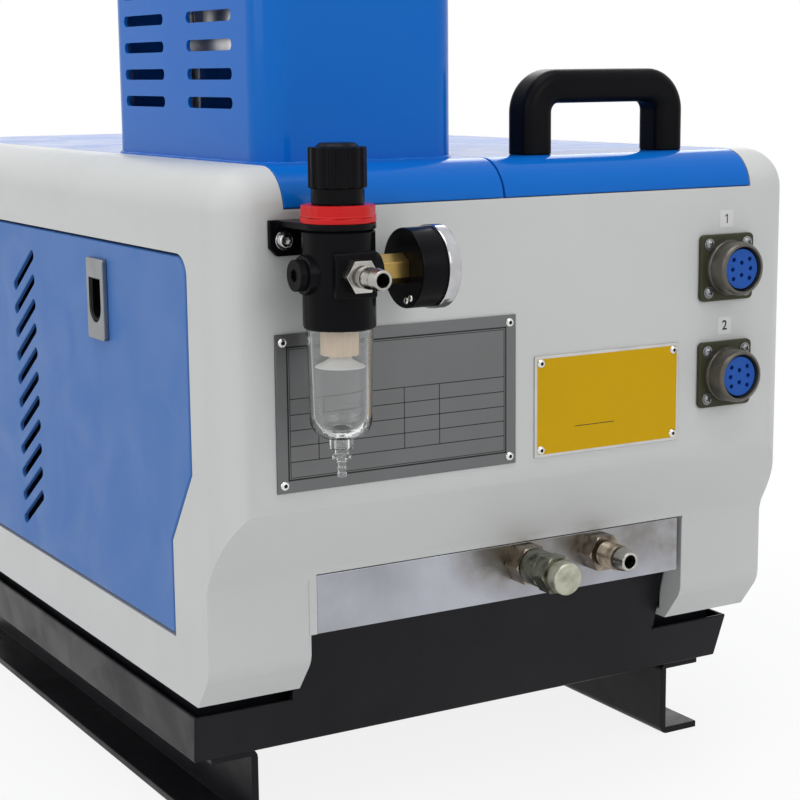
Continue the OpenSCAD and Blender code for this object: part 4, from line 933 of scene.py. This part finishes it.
# Connectors: two round sockets on square olive flanges, each a rolled metal shell round a blue insert with
# contacts. Four screws with washers hold each flange, and a small paper label above it carries its number.
olive_paint = finish(
    "olive_paint", (0.04, 0.042, 0.02), (0.065, 0.062, 0.035), 0.4, (0.3, 0.48), relief=0.15
)
worn_olive = finish(
    "olive_paint", (0.13, 0.12, 0.105), (0.06, 0.06, 0.04), 0.6, (0.24, 0.4),
    patch=70, grain=900, relief=0.08, metal=0.7,
)
blue_plastic = finish(
    "blue_plastic", (0.012, 0.085, 0.4), (0.018, 0.1, 0.38), 0.3, (0.32, 0.45), relief=0.08
)
paper = finish(
    "pale_plastic", (0.72, 0.72, 0.7), (0.6, 0.59, 0.56), 0.3, (0.5, 0.65), grain=900, relief=0.08
)
shell_low, shell_high = box_of("connector_shells")
socket_x, flange_w = (shell_low.x + shell_high.x) / 2, shell_high.x - shell_low.x
end_y, flange_t, flange_r, flange_screw = cover_low.y, 3, 3, 13.3
half = flange_w / 2
shell_profile = [
    (15.5, -1), (15.5, 2.2), (15.0, 2.9), (14.75, 3.5), (14.75, 11), (14.5, 12.4), (13.9, 13.5),
    (13.2, 13.95), (12.5, 13.8), (12.1, 13.2), (12.1, -1),
]
screw_profile = [
    (0, 2.3), (1.3, 2.2), (2.2, 1.8), (2.65, 1.2), (2.7, 0.6), (3.3, 0.55), (3.4, 0.4), (3.4, 0),
    (1.5, 0), (1.5, -6), (0, -6),
]
label_size, label_shift, label_rise = Vector((9.4, 9.6)), 1, 26.7


def figure(text, height, place, right, up):
    """A printed number as a flat mesh: its baseline runs along right, and its top points up."""
    curve = bpy.data.curves.new("figure", "FONT")
    curve.body = text
    curve.size = height * 1.4
    curve.offset = height * 0.025
    curve.align_x, curve.align_y = "CENTER", "CENTER"
    letter = placed("figure", curve)
    mesh = bpy.data.meshes.new_from_object(letter.evaluated_get(bpy.context.evaluated_depsgraph_get()))
    form = bmesh.new()
    form.from_mesh(mesh)
    bpy.data.objects.remove(letter)
    bpy.data.curves.remove(curve)
    bpy.data.meshes.remove(mesh)
    right, up = Vector(right), Vector(up)
    turn = Matrix((right, up, right.cross(up))).transposed()
    bmesh.ops.rotate(form, cent=(0, 0, 0), matrix=turn, verts=form.verts)
    bmesh.ops.translate(form, vec=place, verts=form.verts)
    return form


flanges, shells, screws, labels, figures = [], [], [], [], []
for number, z in (("1", shell_high.z - half), ("2", shell_low.z + half)):
    corners = (socket_x - half, z - half), (socket_x + half, z + half)
    flanges.append(soften(slab(round_outline(*corners, flange_r), 1, end_y - flange_t, end_y), 0.8, 3))
    shells.append(turned(shell_profile, (socket_x, end_y - flange_t, z), to_front, 56, True))
    for n, (sx, sz) in enumerate(((-1, -1), (-1, 1), (1, -1), (1, 1))):
        place = Vector((socket_x + sx * flange_screw, end_y - flange_t, z + sz * flange_screw))
        head = turned(screw_profile, place, to_front, 20)
        tilt = math.radians(25 + 40 * n)
        for turn in (tilt, tilt + math.pi / 2):
            groove = slot_outline(3.4, 0.9, (place.x, place.z), turn)
            head = cut(head, slab(groove, 1, place.y - 3, place.y - 1.0))
        screws.append(head)
    label_mid = Vector((socket_x + label_shift, z + label_rise))
    label_outline = round_outline(label_mid - label_size / 2, label_mid + label_size / 2, 0.6)
    labels.append(slab(label_outline, 1, end_y - 0.15, end_y))
    middle = Vector((label_mid.x, end_y - 0.18, label_mid.y))
    if number == "1":
        stroke = [(-1.2, 1.5), (-0.9, 1.1), (0.1, 1.7), (0.1, -2.5), (0.8, -2.5), (0.8, 2.5), (0.2, 2.5)]
        figures.append(slab([(middle.x + a, middle.z + b) for a, b in stroke], 1, middle.y, end_y))
    else:
        figures.append(figure(number, 5.4, middle, (1, 0, 0), upward))
piece("connector_flanges", join(*flanges), olive_paint, "connector_shells")
piece("connector_barrels", join(*shells), worn_olive, smooth=40)
dressed("connector_inserts", blue_plastic, 0.3)
piece("connector_screw_heads", join(*screws), dull_steel, "connector_screws", smooth=40)
piece("connector_labels", join(*labels), paper)
piece("connector_numbers", join(*figures), etched)

# Filter regulator: a black die-cast body on a steel bracket, with a red lock ring and a fluted knob on top.
# A clear bowl with the filter and a drain hangs below it, and a hose barb is screwed into its front.
red_plastic = finish("red_plastic", (0.6, 0.012, 0.012), (0.45, 0.01, 0.01), 0.3, (0.25, 0.4))
pale_plastic = finish("pale_plastic", (0.66, 0.53, 0.41), (0.55, 0.42, 0.3), 0.3, (0.35, 0.5))
# The nickel is darkened and given dark patches: painted reflection, the dark reflections of a dim surround on
# the plated parts.
nickel = finish(
    "nickel", (0.5, 0.49, 0.46), (0.14, 0.13, 0.11), 0.6, (0.14, 0.3),
    patch=90, grain=900, relief=0.05, metal=1.0,
)
black_gloss = finish(
    "black_plastic", (0.004, 0.004, 0.005), (0.009, 0.009, 0.01), 0.3, (0.16, 0.28),
    patch=40, grain=1200, gloss=0.06,
)
dressed("regulator_bracket", black_gloss, 0.5)
bracket_low, bracket_high = box_of("regulator_bracket")
bracket_mid, bracket_t, screw_span, screw_drop = (bracket_low.x + bracket_high.x) / 2, 3, 14.5, 9.8
cap_head = [
    (0, 3.0), (2.9, 3.0), (3.3, 2.7), (3.4, 2.3), (3.4, 0.8), (4.6, 0.75), (4.8, 0.5), (4.8, 0), (2, 0),
    (2, -10), (0, -10),
]
cap_screws = []


def hexagon(x, z, r):
    """The six corners of a hexagon, as points in a plane."""
    turns = [math.pi * k / 3 for k in range(6)]
    return [(x + r * math.cos(a), z + r * math.sin(a)) for a in turns]


for side in (-1, 1):
    place = Vector((bracket_mid + side * screw_span, end_y - bracket_t, bracket_high.z - screw_drop))
    key = hexagon(place.x, place.z, 1.9)
    screw = turned(cap_head, place, to_front, 32)
    cap_screws.append(cut(screw, slab(key, 1, place.y - 4, place.y - 1.3)))
piece("bracket_screws", join(*cap_screws), bright_steel, "panel_screws", smooth=40)
body_low, body_high = box_of("regulator_body")
ring_low, ring_high = box_of("regulator_ring")
regulator_x, regulator_y = (ring_low.x + ring_high.x) / 2, (ring_low.y + ring_high.y) / 2
body_r, body_end, port_z, boss_half = 17.5, bracket_high.z - bracket_t, body_low.z + 26.3, 11
body_h = body_end - body_low.z
neck_h = body_high.z - body_low.z
barrel = [
    (0, 0), (body_r - 1.6, 0), (body_r - 0.5, 0.5), (body_r, 1.6), (body_r, body_h - 1.2),
    (body_r - 1.2, body_h), (12.5, body_h), (12.5, neck_h), (4.05, neck_h), (4.05, body_h - 2),
    (0, body_h - 2),
]
side_boss = [(0, 0), (9.5, 0), (9.5, 18.8), (9.1, 19.7), (8.3, 20), (0, 20)]
boss_low = (regulator_x - boss_half, body_low.y, port_z - boss_half)
boss = block(boss_low, (regulator_x + boss_half, regulator_y, port_z + boss_half))
regulator = join(
    turned(barrel, (regulator_x, regulator_y, body_low.z), upward, 64),
    soften(boss, 1.2, 3),
    *[turned(side_boss, (regulator_x, regulator_y, port_z), (side, 0, 0), 40) for side in (-1, 1)],
)
piece("regulator_casting", regulator, black_gloss, "regulator_body", smooth=40)
dressed("regulator_ring", red_plastic, 0.7)
dressed("regulator_spindle", steel, 0.3)
dressed("regulator_knob", black_gloss, 0.5)
holder_r, holder_h, ribs, rib_d = 9.2, 12.7, 24, 0.7
rib_spots = []
for k in range(2 * ribs):
    r, turn = holder_r - rib_d * (k // 2 % 2), math.pi * k / ribs
    rib_spots.append((regulator_x + r * math.cos(turn), regulator_y + r * math.sin(turn)))
holder = soften(slab(rib_spots, 2, body_low.z - holder_h, body_low.z), 0.25)
piece("filter_holder", holder, pale_plastic, "filter_element")
baffle = [(0, 0), (11.6, 0), (12, 0.3), (11.7, 0.8), (8.5, 2.2), (6, 3.6), (4.6, 5.2), (4.5, 6), (0, 6)]
white_plastic = finish("pale_plastic", (0.8, 0.8, 0.79), (0.7, 0.69, 0.66), 0.3, (0.35, 0.5), grain=900)
baffle_place = (regulator_x, regulator_y, body_low.z - holder_h - 5.8)
piece("filter_baffle", turned(baffle, baffle_place, upward, 40), white_plastic, smooth=40)
dressed("inlet_barb", nickel, 0.2)
dressed("port_plug", black_plastic, 0.4)
clear_plastic = finish(
    "clear_plastic", (0.96, 0.97, 0.97), (0.9, 0.91, 0.9), 0.2, (0.02, 0.07), grain=300, relief=0.02
)
set_inputs(clear_plastic.node_tree.nodes["Principled BSDF"], {"Transmission Weight": 1.0, "IOR": 1.46})
dressed("filter_bowl", clear_plastic, 0.3)
dressed("drain_valve", clear_plastic, 0.2)

# Gauge: a pressure gauge on a brass stem at the regulator's right, with a black case and a chrome bezel.
# Its white dial faces right, with ticks, plain numbers and a black needle behind a clear lens.
# The chrome is darkened and broken by dark patches: painted reflection, the dark bands of a dim surround
# painted onto the metal.
chrome_ring = finish(
    "chrome_ring", (0.56, 0.56, 0.58), (0.16, 0.16, 0.17), 0.6, (0.06, 0.16),
    patch=34, grain=600, relief=0.01, metal=1.0,
)
# The brass and its patches are darkened to a dull olive brown: painted shade, as the stem lies in shadow.
brass_stem = finish(
    "brass_stem", (0.4, 0.27, 0.085), (0.12, 0.08, 0.03), 0.6, (0.2, 0.38),
    patch=90, grain=900, relief=0.05, metal=1.0,
)
dial_white = finish("pale_plastic", (0.82, 0.82, 0.8), (0.75, 0.74, 0.7), 0.3, (0.4, 0.5), relief=0.02)
needle_paint = finish(
    "needle_paint", (0.01, 0.01, 0.01), (0.03, 0.03, 0.03), 0.3, (0.35, 0.5), relief=0.05
)
dressed("gauge_stem", brass_stem, 0.3)
dressed("gauge_case", black_gloss, 0.8)
dressed("gauge_bezel", chrome_ring, 0.9, 3)
dressed("gauge_dial", dial_white, 0.1)
dial_low, dial_high = box_of("gauge_dial")
dial_mid = (dial_low + dial_high) / 2
dial_r, dial_x = (dial_high.z - dial_low.z) / 2, dial_high.x
tick_count, tick_inset, number_r, ink = 50, 1.2, 10.2, 0.03
marks = []
for step in range(tick_count + 1):
    turn = math.radians(225 - 270 * step / tick_count)
    length, width = (3, 0.5) if step % 10 == 0 else (2.2, 0.3) if step % 5 == 0 else (1.3, 0.2)
    ray = Vector((math.cos(turn), math.sin(turn)))
    spot = dial_mid.yz + (dial_r - tick_inset - length / 2) * ray
    marks.append(slab(slot_outline(length, width, spot, turn), 0, dial_x - 0.02, dial_x + ink))
    if step % 10 == 0:
        spot = (dial_x + ink, *(dial_mid.yz + number_r * ray))
        marks.append(figure(str(step // 5), 2.6, spot, (0, 1, 0), upward))
piece("gauge_marks", join(*marks), needle_paint)
case_low = box_of("gauge_case")[0]
back_screw = [(0, 1.0), (1.0, 0.9), (1.6, 0.5), (1.7, 0), (0, 0)]
spots = [(case_low.x, dial_mid.y + y, dial_mid.z + z) for y, z in ((-7, -14), (-3, -15.5))]
back_screws = join(*[turned(back_screw, s, (-1, 0, 0), 16) for s in spots])
piece("gauge_back_screws", back_screws, bright_steel, smooth=50)
dressed("gauge_needle", needle_paint, 0.1)
dressed("gauge_lens", clear_plastic, 0.1)

# Hose fittings: two steel adapters screwed into the manifold, the left one closed by a cap nut and a plug.
# They are turned from hexagon bar and nickel plated, browned by heat, and the cap is dull with spilt glue.
# Their near-black patches are partly dirt and partly painted shade and dark reflections.
# The adapters' near-black patches are partly dirt, partly painted shade and dark reflection.
browned = finish(
    "nickel", (0.31, 0.26, 0.2), (0.02, 0.016, 0.012), 1.0, (0.16, 0.36),
    patch=120, grain=700, relief=0.12, metal=1.0,
)
# The cap's near-black patches are partly spilt glue and dirt, partly painted shadow and dark reflection.
dull_cap = finish(
    "nickel", (0.22, 0.225, 0.175), (0.02, 0.02, 0.015), 1.0, (0.2, 0.42),
    patch=170, grain=500, relief=0.3, metal=0.9,
)
plug_face = finish(
    "nickel", (0.47, 0.47, 0.38), (0.24, 0.24, 0.18), 0.8, (0.28, 0.45),
    patch=150, grain=600, relief=0.2, metal=0.7,
)
fitting_high = box_of("hose_adapters")[1]
cap_low, cap_high = box_of("hose_cap")
fitting_y, fitting_z = bar_low.y, (cap_low.z + cap_high.z) / 2
capped_x, open_x = (cap_low.x + cap_high.x) / 2, fitting_high.x - 11


def hexed(x, r, start, end, bevel=1.1):
    """A hexagon bar along Y whose corners are turned off at both ends."""
    bar = slab(hexagon(x, fitting_z, r), 1, start, end)
    length, outer = end - start, r * 1.02
    ends = [(0, 0), (r - bevel, 0), (outer, bevel * 0.7)]
    ends += [(outer, length - bevel * 0.7), (r - bevel, length), (0, length)]
    return cut(bar, turned(ends, (x, start, fitting_z), to_rear, 40), "INTERSECT")


def fitting(profile, x, y, steps=40, closed=False):
    """A form turned round the axis of a fitting, which points to the front from a place along Y."""
    return turned(profile, (x, y, fitting_z), to_front, steps, closed)


def threaded(r, start, end, pitch=1.4, depth=0.6):
    """The outline of a screw thread between two heights."""
    count = int((end - start) / pitch)
    heights = [start + pitch * k for k in range(count)]
    ridges = [((r, z + pitch / 4), (r - depth, z + pitch * 3 / 4)) for z in heights]
    return [(r - depth, start)] + [spot for ridge in ridges for spot in ridge] + [(r - depth, end)]


stub = [(0, -14), (7, -14)] + threaded(7, 0, 27.5) + [(0, 28)]
bore_r, capped_hex_l, open_hex_l = 3.6, 13, 12
bore = [(0, -1), (bore_r, -1), (bore_r, 13), (0, 13)]
nose = [(bore_r, -14), (7.0, -14), (7.0, 12)] + threaded(7.25, 12.5, 25.5) + [(bore_r, 26)]
tip = [(bore_r, 24), (5.6, 24), (5.6, 26.4), (6.45, 26.8), (6.4, 27.6), (5.4, 33.6), (5.1, 34), (3.9, 34)]
tip += [(bore_r, 33.6)]
adapters = join(
    hexed(capped_x, 11.5, fitting_y - capped_hex_l, fitting_y),
    fitting(stub, capped_x, fitting_y),
    cut(hexed(open_x, 11, fitting_y - open_hex_l, fitting_y), fitting(bore, open_x, fitting_y, 24)),
    fitting(nose, open_x, fitting_y, closed=True),
)
piece("hose_adapter_bodies", adapters, browned, "hose_adapters", smooth=40)
piece("hose_adapter_cone", fitting(tip, open_x, fitting_y, closed=True), nickel, smooth=40)
cap_y = fitting_y - capped_hex_l
sleeve = [(0, 0), (9.3, 0), (10, 0.7), (10, 12), (9.6, 12.6), (0, 12.6)]
neck = [(0, 22), (8.9, 22), (8.6, 25), (0, 25)]
cap_body = join(
    fitting(sleeve, capped_x, cap_y),
    hexed(capped_x, 11, cap_y - 23, cap_y - 12.5),
    fitting(neck, capped_x, cap_y),
)
piece("hose_cap_nut", cap_body, dull_cap, "hose_cap", smooth=40)
plug = [(0, 24.5), (8.6, 24.5), (8.9, 25.2), (8.9, 31), (8.3, 31.8), (7.6, 32), (0, 32)]
piece("hose_cap_plug", fitting(plug, capped_x, cap_y, 48), plug_face, smooth=40)

# Control end: a black panel with a temperature display, a rotary main switch, two push buttons and the cable
# gland. It is screwed to the grey cover. The switch and the stop button are red, the start button green.
green_plastic = finish("green_plastic", (0.015, 0.26, 0.05), (0.02, 0.2, 0.04), 0.3, (0.25, 0.4))
dressed("control_panel", black_plastic, 0.6)
dressed("main_switch", red_plastic, 0.6)
dressed("start_button", green_plastic, 0.6)
dressed("stop_button", red_plastic, 0.6)
dressed("cable_gland", black_plastic, 0.5)
panel_y, panel_mid_z = panel_high.y - 2, (panel_low.z + panel_high.z) / 2
display_x, button_xs, key_xs, key_drop, screw_inset = 64, (-34, -4), (-24, -8, 8, 24), 13, 7


def display_plate(half_w, low, high, thick):
    """A thin plate on the panel, its lower and upper edge given from the panel's middle."""
    corner = (display_x + half_w, panel_y + thick, panel_mid_z + high)
    return block((display_x - half_w, panel_y, panel_mid_z + low), corner)


piece("display_glass", display_plate(39, -20, 20, 0.6), black_gloss)
screen_green = finish(
    "green_plastic", (0.16, 0.2, 0.12), (0.13, 0.16, 0.1), 0.3, (0.2, 0.3),
    patch=40, grain=900, relief=0.02,
)
piece("display_screen", display_plate(32, -7, 15, 0.7), screen_green)
key = [(0, 1.4), (2.6, 1.3), (3.1, 0.9), (3.2, 0), (0, 0)]
key_places = [(display_x + x, panel_y + 0.5, panel_mid_z - key_drop) for x in key_xs]
keys = [turned(key, place, to_rear, 24) for place in key_places]
piece("display_keys", join(*keys), paper, smooth=50)
heads = [
    cut(
        turned(screw_profile, (x, panel_y, z), to_rear, 20),
        slab(slot_outline(6, 0.8, (x, z), 0.3 + n), 1, panel_y + 1.1, panel_y + 4),
    )
    for n, (x, z) in enumerate(corners_in(panel_low, panel_high, screw_inset))
]
piece("control_panel_screws", join(*heads), steel, smooth=40)
collar = [(8.4, 0), (8.4, 2), (8.8, 2.4), (10.4, 2.2), (11.4, 1.2), (11.6, 0)]
collars = [turned(collar, (x, panel_y, panel_mid_z), to_rear, 40, True) for x in button_xs]
# The collars' chrome carries the bezel's painted dark reflections.
piece("button_collars", join(*collars), chrome_ring, smooth=40)

# Size: the box of the dressed part in metres, taken last, when every piece is in place.
low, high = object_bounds()
